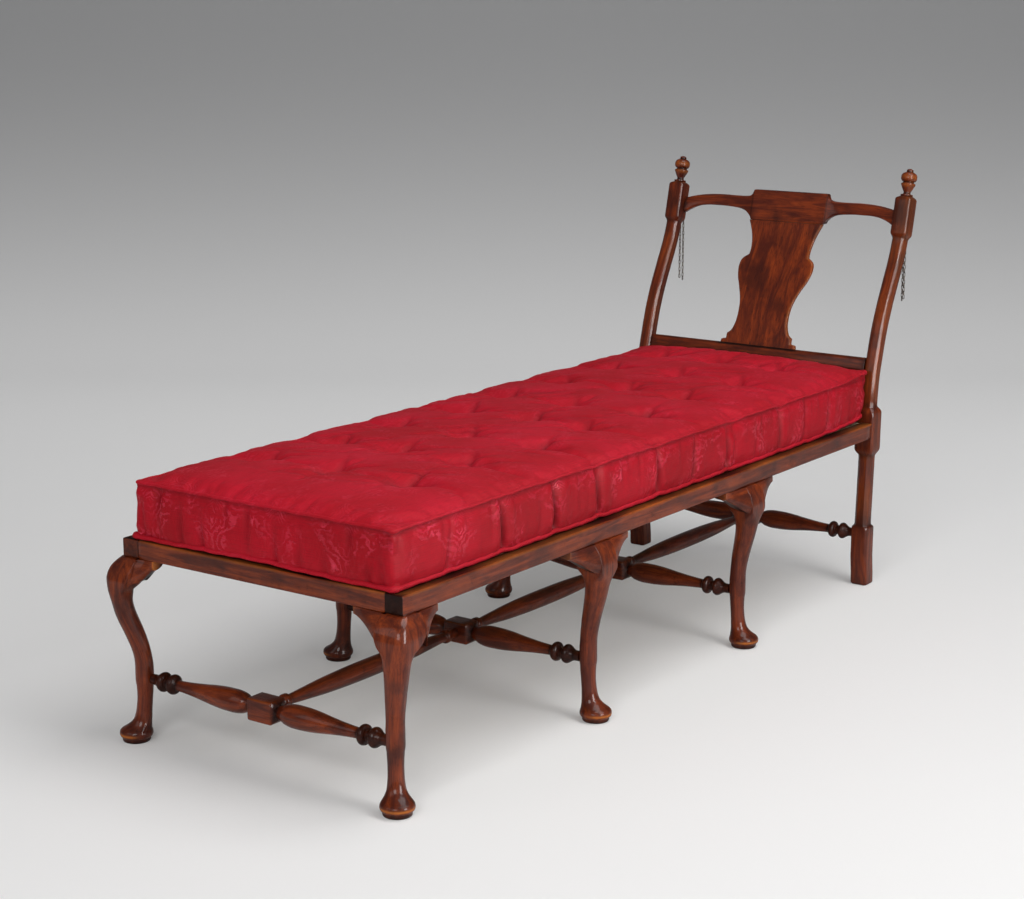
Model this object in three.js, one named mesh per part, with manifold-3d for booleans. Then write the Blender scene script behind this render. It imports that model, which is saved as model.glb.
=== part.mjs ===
import * as THREE from 'three';
import Module from 'manifold-3d';
import { mergeVertices } from 'three/addons/utils/BufferGeometryUtils.js';

const wasm = await Module();
wasm.setup();

// A daybed with eight legs and a back that falls. Millimetres, +Z up. X runs from
// the foot end to the head end, Y from the near side to the far side.

// Seat frame
const SEAT_WIDTH = 640;
const RAIL_TOP = 378;
const RAIL_HEIGHT = 33.5;
const RAIL_THICK = 38;
const RAIL_EDGE = 2;
const RABBET_WIDTH = 12;
const RABBET_DEPTH = 5;
const TENON_LENGTH = 18;
const STUB_TENON = 9;
const TENON_THICK = 12;
const TENON_HEIGHT = 24;
const DECK_THICK = 2;

// Gaps: GAP is left between pieces that touch, MARGIN is how far a cut runs over.
const GAP = 0.3;
const MARGIN = 2;

// Cabriole legs
const LEG_STOCK = 52;
const LEG_BLOCK_DEPTH = 40;
const PAD_RADIUS = 30.3;
const ANKLE_HEIGHT = 92;
const KNEE_START = 286;
const KNEE_REACH = 19;
const CORNER_KNEE_REACH = 25;
const TOE_REACH = 17.5;
const CORNER_TOE_REACH = 13;
const KNEE_BULGE = 21;
const KNEE_ROUND = 18;
const BLOCK_ROUND = 4;
const FOOT_ANKLE_X = 13;
const FOOT_ANKLE_IN = 29;
const SIDE_ANKLE_IN = 23;
const SECOND_LEG_X = 577.3;
const THIRD_LEG_X = 1131.4;
const LEG_TENON_RADIUS = 9;
const LEG_TENON_LENGTH = 17;
// height, outward and radius, as shares of the ankle height, toe reach and pad radius
const PAD_SHARES = [
  [0, 1, 0.8], [0.022, 1, 0.84], [0.078, 1, 0.855], [0.1, 1, 0.94], [0.155, 1, 1], [0.2, 1, 0.985],
  [0.242, 0.95, 0.915], [0.285, 0.76, 0.8], [0.36, 0.5, 0.645], [0.435, 0.33, 0.555],
  [0.52, 0.23, 0.51], [0.65, 0.14, 0.475], [0.83, 0.05, 0.465], [1, 0, 0.485],
];
// height between ankle and knee, outward share of the knee reach, share of half the stock
const SHANK_SHARES = [
  [0.062, 0, 0.59], [0.125, 0, 0.645], [0.24, 0, 0.64], [0.33, 0.04, 0.625], [0.42, 0.14, 0.645],
  [0.51, 0.29, 0.685], [0.61, 0.49, 0.725], [0.71, 0.71, 0.775], [0.8, 0.88, 0.825],
  [0.9, 0.99, 0.9], [1, 1.02, 0.97],
];
// height between knee and rail, share of the bulge, how far the inner side has come out
const KNEE_SHARES = [
  [0.12, 1.1, 0.3], [0.3, 1.1, 0.62], [0.5, 1.02, 0.88], [0.72, 0.82, 1], [0.9, 0.5, 1], [1, 0.26, 1],
];
// a corner leg is this share thinner along the diagonal at its knee
const CORNER_FLAT_SHARE = 0.2;

// Knee brackets
const CORNER_BRACKET = 53;
const SIDE_BRACKET = 70;
const NEAR_END_BRACKET = 65;
const FAR_END_BRACKET = 34;
const BRACKET_DROP = 55;
const NEAR_END_DROP = 64;
const FAR_END_DROP = 44;
const END_BRACKET_THICK = 26;
// along and down, as shares of the bracket's length and drop
const BRACKET_SHARES = [
  [0, 1], [0.12, 0.93], [0.3, 0.78], [0.46, 0.63], [0.6, 0.51], [0.75, 0.4], [0.9, 0.31], [1, 0.27],
];
const BRACKET_DEPTH_SHARES = [0, 0.3, 0.6, 0.85, 1];
const BRACKET_FALL = 1.6;

// Head posts
const POST_X = 1703;
const POST_IN = 21;
const POST_FOOT = 40;
const POST_FOOT_TOP = 138;
const SHAFT = 33;
const SHAFT_CHAMFER = 8;
const SEAT_BLOCK = 45;
const SEAT_BLOCK_LOW = 302;
const SEAT_BLOCK_HIGH = 412;
const STILE = 31;
const STILE_CHAMFER = 6;
const TOP_BLOCK = 39;
const TOP_BLOCK_LOW = 779;
const TOP_BLOCK_HIGH = 871;
const BLOCK_EASE = 3;
const SHOULDER = 7;
const POST_HEIGHT = 931;
// height as a share of the post, backward lean as a share of LEAN
const LEAN = 168;
const LEAN_SHARES = [
  [0, -0.018], [0.022, -0.021], [0.075, -0.05], [0.15, -0.045], [0.226, -0.024], [0.322, 0],
  [0.44, 0.018], [0.505, 0.054], [0.562, 0.131], [0.619, 0.226], [0.675, 0.354], [0.73, 0.51],
  [0.785, 0.667], [0.836, 0.774], [0.886, 0.845], [0.937, 0.914], [1, 1],
];
// height above the top block and radius, as shares of the finial's height and ball radius
const FINIAL_RADIUS = 18;
const FINIAL_SHARES = [
  [0.012, 0.78], [0.05, 0.78], [0.065, 0.5], [0.13, 0.44], [0.22, 0.58], [0.34, 0.78], [0.42, 0.9],
  [0.46, 0.88], [0.48, 0.7], [0.52, 0.68], [0.55, 0.86], [0.64, 1], [0.72, 1], [0.82, 0.84],
  [0.87, 0.55], [0.885, 0.42], [0.95, 0.42], [0.995, 0.2],
];

// Stretchers
const STRETCHER_Z = 117;
const STRETCHER_BLOCK = 41;
const STRETCHER_BLOCK_HALF = 32;
const STRETCHER_RADIUS = 21;
const STRETCHER_TENON_RADIUS = 8;
const STRETCHER_TENON = 13;
const STRETCHER_NECK = 9.2;
const FOOT_STRETCHER_X = 17;
const HEAD_STRETCHER_X = 1696;
// along and radius, as shares of the turned length and of the largest radius
const TURNING_SHARES = [
  [0.005, 0.56], [0.03, 0.64], [0.08, 0.88], [0.16, 1], [0.24, 0.99], [0.34, 0.91], [0.48, 0.71],
  [0.62, 0.54], [0.74, 0.46], [0.754, 0.62], [0.768, 0.84], [0.798, 0.84],
  [0.816, 0.5], [0.848, 0.5], [0.864, 0.8], [0.894, 0.84], [0.918, 0.66], [0.95, 0.46],
];
const SPINDLE_RADIUS = 17.6;
const SPINDLE_TENON_RADIUS = 7;
const SPINDLE_TENON = 10;
const SPINDLE_SHARES = [
  [0.001, 0.52], [0.035, 0.54], [0.048, 0.76], [0.062, 0.76], [0.072, 0.53], [0.14, 0.64],
  [0.26, 0.86], [0.4, 0.98], [0.5, 1],
];

// Cushion
const CUSHION_LOW = 378.6;
const CUSHION_SEAM = 483;
const CUSHION_CROWN = 33;
const CUSHION_FOOT_X = 5;
const CUSHION_HEAD_X = 1679;
const CUSHION_HEAD_SWELL = 21;
const CUSHION_HALF = 299;
const CUSHION_ROLL = 9;
const CUSHION_DRAW = 7;
const TUFT_DEPTH = 12;
const TUFT_RADIUS = 62;
const TUFT_COLUMNS = 8;
const TUFT_ROWS = 3;
const CUSHION_COLUMNS = 45;
const CUSHION_ROWS = 15;

// Falling back: its pins lie a little above the cushion's seam
const PIVOT_ABOVE_SEAM = 17;
const PIVOT_Z = CUSHION_SEAM + PIVOT_ABOVE_SEAM;
const BACK_CLEAR = 1.2;
const LOWER_RAIL_THICK = 24;
const LOWER_RAIL_HEIGHT = 36;
const LOWER_RAIL_ROUND = 6;
const LOWER_RAIL_TILT = 0.27;
const PIN_RADIUS = 5;
const PIN_PLAY = 0.25;
const PIN_DEPTH = 14;
const CREST_FRONT = 1;
const CREST_THICK = 19.5;
const CREST_BOW = 8;
const CREST_ROUND = 8;
const CREST_LOW = 794;
const CREST_RISE = 69;
// out from the middle as a share of half the crest, top and bottom as shares of its rise
const CREST_SHARES = [
  [0, 1, 0], [0.2, 1, 0], [0.33, 1, 0], [0.346, 0.995, 0.01], [0.352, 0.93, 0.07], [0.362, 0.85, 0.12],
  [0.385, 0.79, 0.2], [0.42, 0.765, 0.28], [0.46, 0.755, 0.33], [0.54, 0.755, 0.37], [0.64, 0.765, 0.39],
  [0.74, 0.755, 0.39], [0.83, 0.725, 0.36], [0.91, 0.675, 0.27], [0.965, 0.625, 0.16], [1, 0.59, 0.07],
];
const SPLAT_THICK = 9;
const SPLAT_SET_BACK = 5;
const SPLAT_HALF = 98;
const SPLAT_ABOVE_PIVOT = 19;
const SPLAT_LOW = PIVOT_Z + SPLAT_ABOVE_PIVOT;
const SPLAT_TONGUE = 8;
const SPLAT_TONGUE_THICK = 5;
// height up the splat and half width, as shares of its height and of SPLAT_HALF
const SPLAT_SHARES = [
  [0, 1], [0.022, 0.985], [0.03, 0.87], [0.075, 0.86], [0.082, 0.83], [0.1, 0.77], [0.14, 0.715],
  [0.19, 0.68], [0.25, 0.67], [0.31, 0.682], [0.37, 0.72], [0.43, 0.785], [0.48, 0.85], [0.53, 0.92],
  [0.575, 0.96], [0.62, 0.982], [0.66, 0.97], [0.69, 0.92], [0.71, 0.84], [0.722, 0.795],
  [0.76, 0.786], [0.81, 0.8], [0.86, 0.83], [0.91, 0.875], [0.96, 0.935], [1, 0.985],
];

// Iron work
const WIRE = 1.4;
const LINK_WIDTH = 5.4;
const LINK_PITCH = 8.2;
const POST_LINKS = 18;
const BACK_LINKS = 21;
const IRON_RADIUS = 1;
const POST_EYE_UP = 10;
const POST_EYE_Z = TOP_BLOCK_LOW + POST_EYE_UP;
const BACK_EYE_UP = 15;
const BACK_EYE_Z = CREST_LOW + BACK_EYE_UP;
const EYE_HALF = 3;
const EYE_CLEAR = 0.8;
const DRIVEN = 8;
const STRAND_SPACING = 6;
const HOOK_IN = 31;
const HOOK_OUT = 5;
const HOOK_TIP = 7;

const WOOD = new THREE.MeshStandardMaterial({ color: 0x6e3420, roughness: 0.32, metalness: 0 });
const IRON = new THREE.MeshStandardMaterial({ color: 0x2b2725, roughness: 0.55, metalness: 0.85 });
const SILK = new THREE.MeshStandardMaterial({ color: 0xa81a30, roughness: 0.6, metalness: 0 });
const CANVAS = new THREE.MeshStandardMaterial({ color: 0xb9a886, roughness: 0.9, metalness: 0 });

const HALF_WIDTH = SEAT_WIDTH / 2;
const RAIL_LOW = RAIL_TOP - RAIL_HEIGHT;
const LEG_TOP = RAIL_LOW - GAP;
const POST_Y = HALF_WIDTH - POST_IN;

const root = new THREE.Group();
root.name = 'daybed';

// A closed solid through rings of points, each ring flat and with as many points.
function loft(rings, place) {
  const position = [];
  const index = [];
  const count = rings[0].length;
  rings.forEach((ring, i) => ring.forEach((p) => position.push(...place(p, i).toArray())));
  for (let i = 0; i + 1 < rings.length; i += 1) {
    for (let j = 0; j < count; j += 1) {
      const a = i * count + j;
      const b = i * count + (j + 1) % count;
      index.push(a, b, b + count, a, b + count, a + count);
    }
  }
  cap(rings[0]).forEach(([a, b, c]) => index.push(c, b, a));
  const last = (rings.length - 1) * count;
  cap(rings[rings.length - 1]).forEach(([a, b, c]) => index.push(last + a, last + b, last + c));
  return closed(position, index);
}

// A ring's flat end as triangles that run the same way round as the ring.
function cap(ring) {
  const faces = THREE.ShapeUtils.triangulateShape([...ring], []);
  return THREE.ShapeUtils.area(ring) > 0 ? faces : faces.map(([a, b, c]) => [c, b, a]);
}

// Faces turned outwards, whichever way the rings ran.
function closed(position, index) {
  const geometry = new THREE.BufferGeometry();
  geometry.setAttribute('position', new THREE.Float32BufferAttribute(position, 3));
  geometry.setIndex(index);
  if (volume(geometry) < 0) {
    for (let i = 0; i < index.length; i += 3) {
      [index[i], index[i + 1]] = [index[i + 1], index[i]];
    }
    geometry.setIndex(index);
  }
  return geometry;
}

function volume(geometry) {
  const at = geometry.getAttribute('position');
  const faces = geometry.getIndex().array;
  const [a, b, c] = [new THREE.Vector3(), new THREE.Vector3(), new THREE.Vector3()];
  let sum = 0;
  for (let i = 0; i < faces.length; i += 3) {
    a.fromBufferAttribute(at, faces[i]);
    b.fromBufferAttribute(at, faces[i + 1]);
    c.fromBufferAttribute(at, faces[i + 2]);
    sum += a.dot(b.cross(c));
  }
  return sum;
}

// A rectangle with its corners rounded, each by its own radius.
function rounded(x0, x1, y0, y1, radii, steps) {
  const most = Math.min(x1 - x0, y1 - y0) / 2;
  const corners = [[x1, y1], [x0, y1], [x0, y0], [x1, y0]];
  const points = [];
  corners.forEach(([x, y], i) => {
    const r = Math.min(radii[i % radii.length], most);
    const cx = x === x1 ? x - r : x + r;
    const cy = y === y1 ? y - r : y + r;
    for (let k = 0; k < steps; k += 1) {
      const angle = Math.PI / 2 * (i + k / (steps - 1));
      points.push(new THREE.Vector2(cx + r * Math.cos(angle), cy + r * Math.sin(angle)));
    }
  });
  return spread(points);
}

// Points that fall together on a full round are drawn a little apart.
function spread(points) {
  const count = points.length;
  return points.map((p, i) => {
    const next = points[(i + 1) % count];
    const before = points[(i + count - 1) % count];
    if (p.distanceTo(next) < RAIL_EDGE / 4) {
      return p.clone().lerp(before, 1 / 6);
    }
    if (p.distanceTo(before) < RAIL_EDGE / 4) {
      return p.clone().lerp(next, 1 / 6);
    }
    return p.clone();
  });
}

function round(radius, count) {
  return Array.from({ length: count }, (_, i) => {
    const angle = 2 * Math.PI * (i + 1 / 2) / count;
    return new THREE.Vector2(radius * Math.cos(angle), radius * Math.sin(angle));
  });
}

function box(x0, x1, y0, y1, z0, z1) {
  const geometry = new THREE.BoxGeometry(x1 - x0, y1 - y0, z1 - z0);
  geometry.translate((x0 + x1) / 2, (y0 + y1) / 2, (z0 + z1) / 2);
  return geometry;
}

// A round bar of any radii along Y, X or Z.
function bar(axis, from, to, radius, a, b, sides = 12) {
  const place = (p, i) => {
    const along = i ? to : from;
    if (axis === 'y') return new THREE.Vector3(a + p.x, along, b + p.y);
    if (axis === 'x') return new THREE.Vector3(along, a + p.x, b + p.y);
    return new THREE.Vector3(a + p.x, b + p.y, along);
  };
  return loft([round(radius, sides), round(radius, sides)], place);
}

function solid(geometry) {
  const plain = geometry.clone();
  plain.deleteAttribute('normal');
  plain.deleteAttribute('uv');
  const merged = mergeVertices(plain);
  return new wasm.Manifold(new wasm.Mesh({
    numProp: 3,
    vertProperties: new Float32Array(merged.getAttribute('position').array),
    triVerts: new Uint32Array(merged.getIndex().array),
  }));
}

function shape(body) {
  const mesh = body.getMesh();
  const geometry = new THREE.BufferGeometry();
  geometry.setAttribute('position', new THREE.Float32BufferAttribute(mesh.vertProperties, 3));
  geometry.setIndex(Array.from(mesh.triVerts));
  return geometry;
}

function cut(geometry, ...tools) {
  return shape(tools.reduce((body, tool) => body.subtract(solid(tool)), solid(geometry)));
}

function join(geometry, ...others) {
  return shape(others.reduce((body, other) => body.add(solid(other)), solid(geometry)));
}

function add(name, geometry, material) {
  const mesh = new THREE.Mesh(geometry, material);
  mesh.name = name;
  root.add(mesh);
  return mesh;
}

// The same piece on the near side (-1) and the far side (+1).
function sided(name, make, material) {
  [['near', -1], ['far', 1]].forEach(([side, sign]) => {
    add(`${name}_${side}`, make(sign), material);
  });
}

function mirrored(geometry, sign) {
  if (sign > 0) return geometry;
  const copy = geometry.clone();
  const at = copy.getAttribute('position');
  for (let i = 0; i < at.count; i += 1) at.setY(i, -at.getY(i));
  return closed(Array.from(at.array), Array.from(copy.getIndex().array));
}

// A smooth value through a table of [place, value] shares.
function along(table, place, column = 1) {
  const curve = table.map((row) => [row[0], row[column]]);
  let i = 0;
  while (i < curve.length - 2 && place > curve[i + 1][0]) i += 1;
  const [x0, y0] = curve[i];
  const [x1, y1] = curve[i + 1];
  const slope = (k) => {
    const a = curve[Math.max(k - 1, 0)];
    const b = curve[Math.min(k + 1, curve.length - 1)];
    return (b[1] - a[1]) / (b[0] - a[0]);
  };
  const t = (place - x0) / (x1 - x0);
  const w = x1 - x0;
  return (2 * t ** 3 - 3 * t ** 2 + 1) * y0 + (t ** 3 - 2 * t ** 2 + t) * w * slope(i)
    + (3 * t ** 2 - 2 * t ** 3) * y1 + (t ** 3 - t ** 2) * w * slope(i + 1);
}

function postX(z) {
  return POST_X + LEAN * along(LEAN_SHARES, z / POST_HEIGHT);
}

// How far the post's line leans from upright at a height, as an angle.
function postTilt(z) {
  return Math.atan2(postX(z + MARGIN) - postX(z - MARGIN), 2 * MARGIN);
}

function blockRear(z) {
  return postX(z) + TOP_BLOCK / 2 / Math.cos(postTilt(z));
}

// Rails. The side rails run through to the foot end and show their end grain there.
const railIn = HALF_WIDTH - RAIL_THICK;
const tenonLow = RAIL_LOW + (RAIL_HEIGHT - TENON_HEIGHT) / 2 - RABBET_DEPTH / 2;
const tenonHigh = tenonLow + TENON_HEIGHT;

function railSection() {
  return [
    [0, 0], [0, RAIL_HEIGHT - RAIL_EDGE], [RAIL_EDGE, RAIL_HEIGHT],
    [RAIL_THICK - RABBET_WIDTH, RAIL_HEIGHT], [RAIL_THICK - RABBET_WIDTH, RAIL_HEIGHT - RABBET_DEPTH],
    [RAIL_THICK, RAIL_HEIGHT - RABBET_DEPTH], [RAIL_THICK, 0],
  ].map(([x, y]) => new THREE.Vector2(x, y));
}

const headBlockFront = postX(RAIL_LOW) - SEAT_BLOCK / 2;
const railEnd = headBlockFront - GAP;
const sideTenon = box(
  railEnd - MARGIN, headBlockFront + TENON_LENGTH - GAP,
  HALF_WIDTH - (RAIL_THICK + TENON_THICK) / 2, HALF_WIDTH - (RAIL_THICK - TENON_THICK) / 2,
  tenonLow, tenonHigh,
);
const footTenonX = [(RAIL_THICK - TENON_THICK) / 2, (RAIL_THICK + TENON_THICK) / 2];
const legCentres = [
  { name: 'foot', x: FOOT_ANKLE_X, tenonX: LEG_BLOCK_DEPTH / 2, y: HALF_WIDTH - FOOT_ANKLE_IN, corner: true },
  { name: 'second', x: SECOND_LEG_X, tenonX: SECOND_LEG_X, y: HALF_WIDTH - SIDE_ANKLE_IN, corner: false },
  { name: 'third', x: THIRD_LEG_X, tenonX: THIRD_LEG_X, y: HALF_WIDTH - SIDE_ANKLE_IN, corner: false },
];
const legTenonY = HALF_WIDTH - RAIL_THICK / 2;

function sideRail(sign) {
  const body = loft([railSection(), railSection()], (p, i) => new THREE.Vector3(
    i ? railEnd : 0, HALF_WIDTH - p.x, RAIL_LOW + p.y,
  ));
  const holes = legCentres.map((leg) => bar(
    'z', RAIL_LOW - MARGIN, RAIL_LOW + LEG_TENON_LENGTH, LEG_TENON_RADIUS + GAP, leg.tenonX, legTenonY,
  ));
  const mortise = box(
    footTenonX[0] - GAP, footTenonX[1] + GAP, railIn - MARGIN, railIn + STUB_TENON,
    tenonLow - GAP, tenonHigh + GAP,
  );
  return mirrored(cut(join(body, sideTenon), ...holes, mortise), sign);
}
sided('side_rail', sideRail, WOOD);

function crossRail(front, half, tenonX, tenonLength, flip) {
  const place = (p, i) => new THREE.Vector3(
    front + (flip ? RAIL_THICK - p.x : p.x), (i ? half : -half), RAIL_LOW + p.y,
  );
  const body = loft([railSection(), railSection()], place);
  const tenons = [-1, 1].map((sign) => box(
    tenonX[0], tenonX[1], Math.min(sign * (half - MARGIN), sign * (half + tenonLength - GAP)),
    Math.max(sign * (half - MARGIN), sign * (half + tenonLength - GAP)), tenonLow, tenonHigh,
  ));
  return join(body, ...tenons);
}
add('foot_rail', crossRail(0, railIn - GAP, footTenonX, STUB_TENON, false), WOOD);

const headRailFront = postX(RAIL_TOP) - RAIL_THICK / 2;
const headTenonX = [headRailFront + footTenonX[0], headRailFront + footTenonX[1]];
const headRailHalf = POST_Y - SEAT_BLOCK / 2 - GAP;
add('head_rail', crossRail(headRailFront, headRailHalf, headTenonX, TENON_LENGTH, true), WOOD);

// Sacking stretched in the rails' rebate, under the cushion, and cut out round the posts.
const deckHalf = railIn + RABBET_WIDTH - GAP;
const deckLow = RAIL_TOP - RABBET_DEPTH + GAP;
const deckNotches = [-1, 1].map((sign) => box(
  headBlockFront - GAP, headRailFront + RAIL_THICK,
  Math.min(sign * headRailHalf, sign * HALF_WIDTH), Math.max(sign * headRailHalf, sign * HALF_WIDTH),
  deckLow - MARGIN, RAIL_TOP + MARGIN,
));
add('canvas_deck', cut(box(
  RAIL_THICK - RABBET_WIDTH + GAP, headRailFront + RABBET_WIDTH - GAP,
  -deckHalf, deckHalf, deckLow, deckLow + DECK_THICK,
), ...deckNotches), CANVAS);

// Legs: a round pad on a disc, a narrow ankle, an S-curved shank and a square knee block.
const SIDES = 3;

function legRings(leg) {
  const rings = [];
  const toe = leg.corner ? CORNER_TOE_REACH : TOE_REACH;
  const knee = leg.corner ? CORNER_KNEE_REACH : KNEE_REACH;
  const outX = leg.corner ? -1 : 0;
  const circle = (z, reach, radius, flat) => {
    const points = rounded(-radius, radius, -radius, radius, [radius], SIDES).map((p) => {
      const out = flat * (p.y - p.x) / 2;
      return new THREE.Vector2(leg.x + outX * reach + p.x + out, leg.y + reach + p.y - out);
    });
    rings.push({ z, points });
  };
  PAD_SHARES.forEach(([h, out, r]) => circle(h * ANKLE_HEIGHT, out * toe, r * PAD_RADIUS, 0));
  SHANK_SHARES.forEach(([h, out, r]) => circle(
    ANKLE_HEIGHT + h * (KNEE_START - ANKLE_HEIGHT), out * knee, r * LEG_STOCK / 2,
    leg.corner ? CORNER_FLAT_SHARE * out ** 4 : 0,
  ));
  const last = rings[rings.length - 1].points;
  const lowY = Math.min(...last.map((p) => p.y));
  const highX = Math.max(...last.map((p) => p.x));
  KNEE_SHARES.forEach(([h, bulge, inner]) => {
    const z = KNEE_START + h * (LEG_TOP - KNEE_START);
    const out = HALF_WIDTH + bulge * KNEE_BULGE;
    const innerY = (1 - inner) * lowY + inner * (HALF_WIDTH - LEG_BLOCK_DEPTH);
    const innerX = (1 - inner) * highX + inner * LEG_BLOCK_DEPTH;
    const points = leg.corner
      ? rounded(-bulge * KNEE_BULGE, innerX, innerY, out, [BLOCK_ROUND, KNEE_ROUND], SIDES)
      : rounded(leg.x - LEG_STOCK / 2, leg.x + LEG_STOCK / 2, innerY, out, [BLOCK_ROUND], SIDES);
    rings.push({ z, points });
  });
  return rings;
}

function stretcherX(leg) {
  return leg.corner ? FOOT_STRETCHER_X : leg.x;
}

function legShape(leg, sign) {
  const rings = legRings(leg);
  const body = loft(rings.map((ring) => ring.points), (p, i) => new THREE.Vector3(p.x, p.y, rings[i].z));
  const tenon = bar(
    'z', LEG_TOP - MARGIN, RAIL_LOW + LEG_TENON_LENGTH - GAP, LEG_TENON_RADIUS, leg.tenonX, legTenonY,
  );
  const socket = bar(
    'y', 0, leg.y, STRETCHER_TENON_RADIUS + GAP, stretcherX(leg), STRETCHER_Z,
  );
  return mirrored(cut(join(body, tenon), socket), sign);
}
legCentres.forEach((leg) => sided(`leg_${leg.name}`, (sign) => legShape(leg, sign), WOOD));

// Knee brackets, glued on beside each knee. A bracket is made running out along +X from
// the knee block's side at zero, with the rail's outer face at y = 0 and the knee out in +Y.
function bracket(length, drop, thick) {
  const rows = BRACKET_DEPTH_SHARES;
  const rings = BRACKET_SHARES.map(([t, d]) => {
    const fade = (1 - t) ** BRACKET_FALL;
    const outer = rows.map((row) => {
      const z = LEG_TOP - row * d * drop;
      const share = (z - KNEE_START) / (LEG_TOP - KNEE_START);
      const bulge = along(KNEE_SHARES, Math.max(share, KNEE_SHARES[0][0])) * KNEE_BULGE;
      return new THREE.Vector2(bulge * fade - (row === 1 ? RAIL_EDGE : 0), z);
    });
    const low = LEG_TOP - d * drop;
    return [
      ...outer,
      new THREE.Vector2(-thick, low),
      new THREE.Vector2(-thick, LEG_TOP),
    ];
  });
  return loft(rings, (p, i) => new THREE.Vector3(
    GAP + BRACKET_SHARES[i][0] * length, p.x, p.y,
  ));
}

function moved(geometry, change) {
  const copy = geometry.clone();
  const at = copy.getAttribute('position');
  for (let i = 0; i < at.count; i += 1) {
    const p = change(new THREE.Vector3().fromBufferAttribute(at, i));
    at.setXYZ(i, p.x, p.y, p.z);
  }
  return closed(Array.from(at.array), Array.from(copy.getIndex().array));
}

function bracketAt(leg, end, sign) {
  const length = leg.corner ? CORNER_BRACKET : SIDE_BRACKET;
  const start = leg.corner ? LEG_BLOCK_DEPTH : leg.x + end * LEG_STOCK / 2;
  const sized = bracket(length, BRACKET_DROP, RAIL_THICK);
  const placed = moved(sized, (p) => new THREE.Vector3(start + end * p.x, HALF_WIDTH + p.y, p.z));
  return mirrored(placed, sign);
}

function endBracket(sign) {
  const [length, drop] = sign < 0 ? [NEAR_END_BRACKET, NEAR_END_DROP] : [FAR_END_BRACKET, FAR_END_DROP];
  const sized = bracket(length, drop, END_BRACKET_THICK);
  const placed = moved(sized, (p) => new THREE.Vector3(
    -p.y, HALF_WIDTH - LEG_BLOCK_DEPTH - p.x, p.z,
  ));
  return mirrored(placed, sign);
}
legCentres.forEach((leg) => {
  sided(`knee_bracket_${leg.name}_head`, (sign) => bracketAt(leg, 1, sign), WOOD);
  if (leg.corner) sided(`knee_bracket_${leg.name}_inner`, endBracket, WOOD);
  else sided(`knee_bracket_${leg.name}_foot`, (sign) => bracketAt(leg, -1, sign), WOOD);
});

// A drilled hole for the driven end of a staple or hook, open towards +X.
function ironHole(rear, y, z) {
  return bar('x', rear - DRIVEN - GAP, rear + MARGIN, IRON_RADIUS + GAP, y, z, 8);
}

// Head posts, each one piece from the floor to its turned finial.
function postRings() {
  const rows = [];
  const square = (z, size, corner) => rows.push({ z, half: size / 2, corner });
  square(0, POST_FOOT - 2 * BLOCK_EASE, BLOCK_EASE);
  square(BLOCK_EASE, POST_FOOT, BLOCK_EASE);
  square(POST_FOOT_TOP / 2, POST_FOOT, BLOCK_EASE);
  square(POST_FOOT_TOP - SHOULDER / 2, POST_FOOT, BLOCK_EASE);
  square(POST_FOOT_TOP, SHAFT + BLOCK_EASE, SHAFT_CHAMFER);
  square(POST_FOOT_TOP + BLOCK_EASE, SHAFT, SHAFT_CHAMFER);
  square((POST_FOOT_TOP + SEAT_BLOCK_LOW) / 2, SHAFT, SHAFT_CHAMFER);
  square(SEAT_BLOCK_LOW, SHAFT, SHAFT_CHAMFER);
  square(SEAT_BLOCK_LOW + SHOULDER, SEAT_BLOCK - BLOCK_EASE, BLOCK_EASE);
  square(SEAT_BLOCK_LOW + 2 * SHOULDER, SEAT_BLOCK, BLOCK_EASE);
  square(SEAT_BLOCK_HIGH - 2 * SHOULDER, SEAT_BLOCK, BLOCK_EASE);
  square(SEAT_BLOCK_HIGH - SHOULDER, SEAT_BLOCK - BLOCK_EASE, BLOCK_EASE);
  square(SEAT_BLOCK_HIGH, STILE, STILE_CHAMFER);
  const steps = 12;
  for (let i = 1; i < steps; i += 1) {
    square(SEAT_BLOCK_HIGH + i / steps * (TOP_BLOCK_LOW - SEAT_BLOCK_HIGH), STILE, STILE_CHAMFER);
  }
  square(TOP_BLOCK_LOW, STILE, STILE_CHAMFER);
  square(TOP_BLOCK_LOW + SHOULDER, TOP_BLOCK, BLOCK_EASE);
  square(TOP_BLOCK_HIGH - SHOULDER, TOP_BLOCK, BLOCK_EASE);
  square(TOP_BLOCK_HIGH - BLOCK_EASE, TOP_BLOCK - 2 * BLOCK_EASE, SHAFT_CHAMFER);
  square(TOP_BLOCK_HIGH, 2 * FINIAL_RADIUS * FINIAL_SHARES[0][1], SHAFT_CHAMFER * 2);
  FINIAL_SHARES.forEach(([h, r]) => {
    const z = TOP_BLOCK_HIGH + h * (POST_HEIGHT - TOP_BLOCK_HIGH);
    square(z, 2 * r * FINIAL_RADIUS, r * FINIAL_RADIUS);
  });
  return rows;
}

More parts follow.
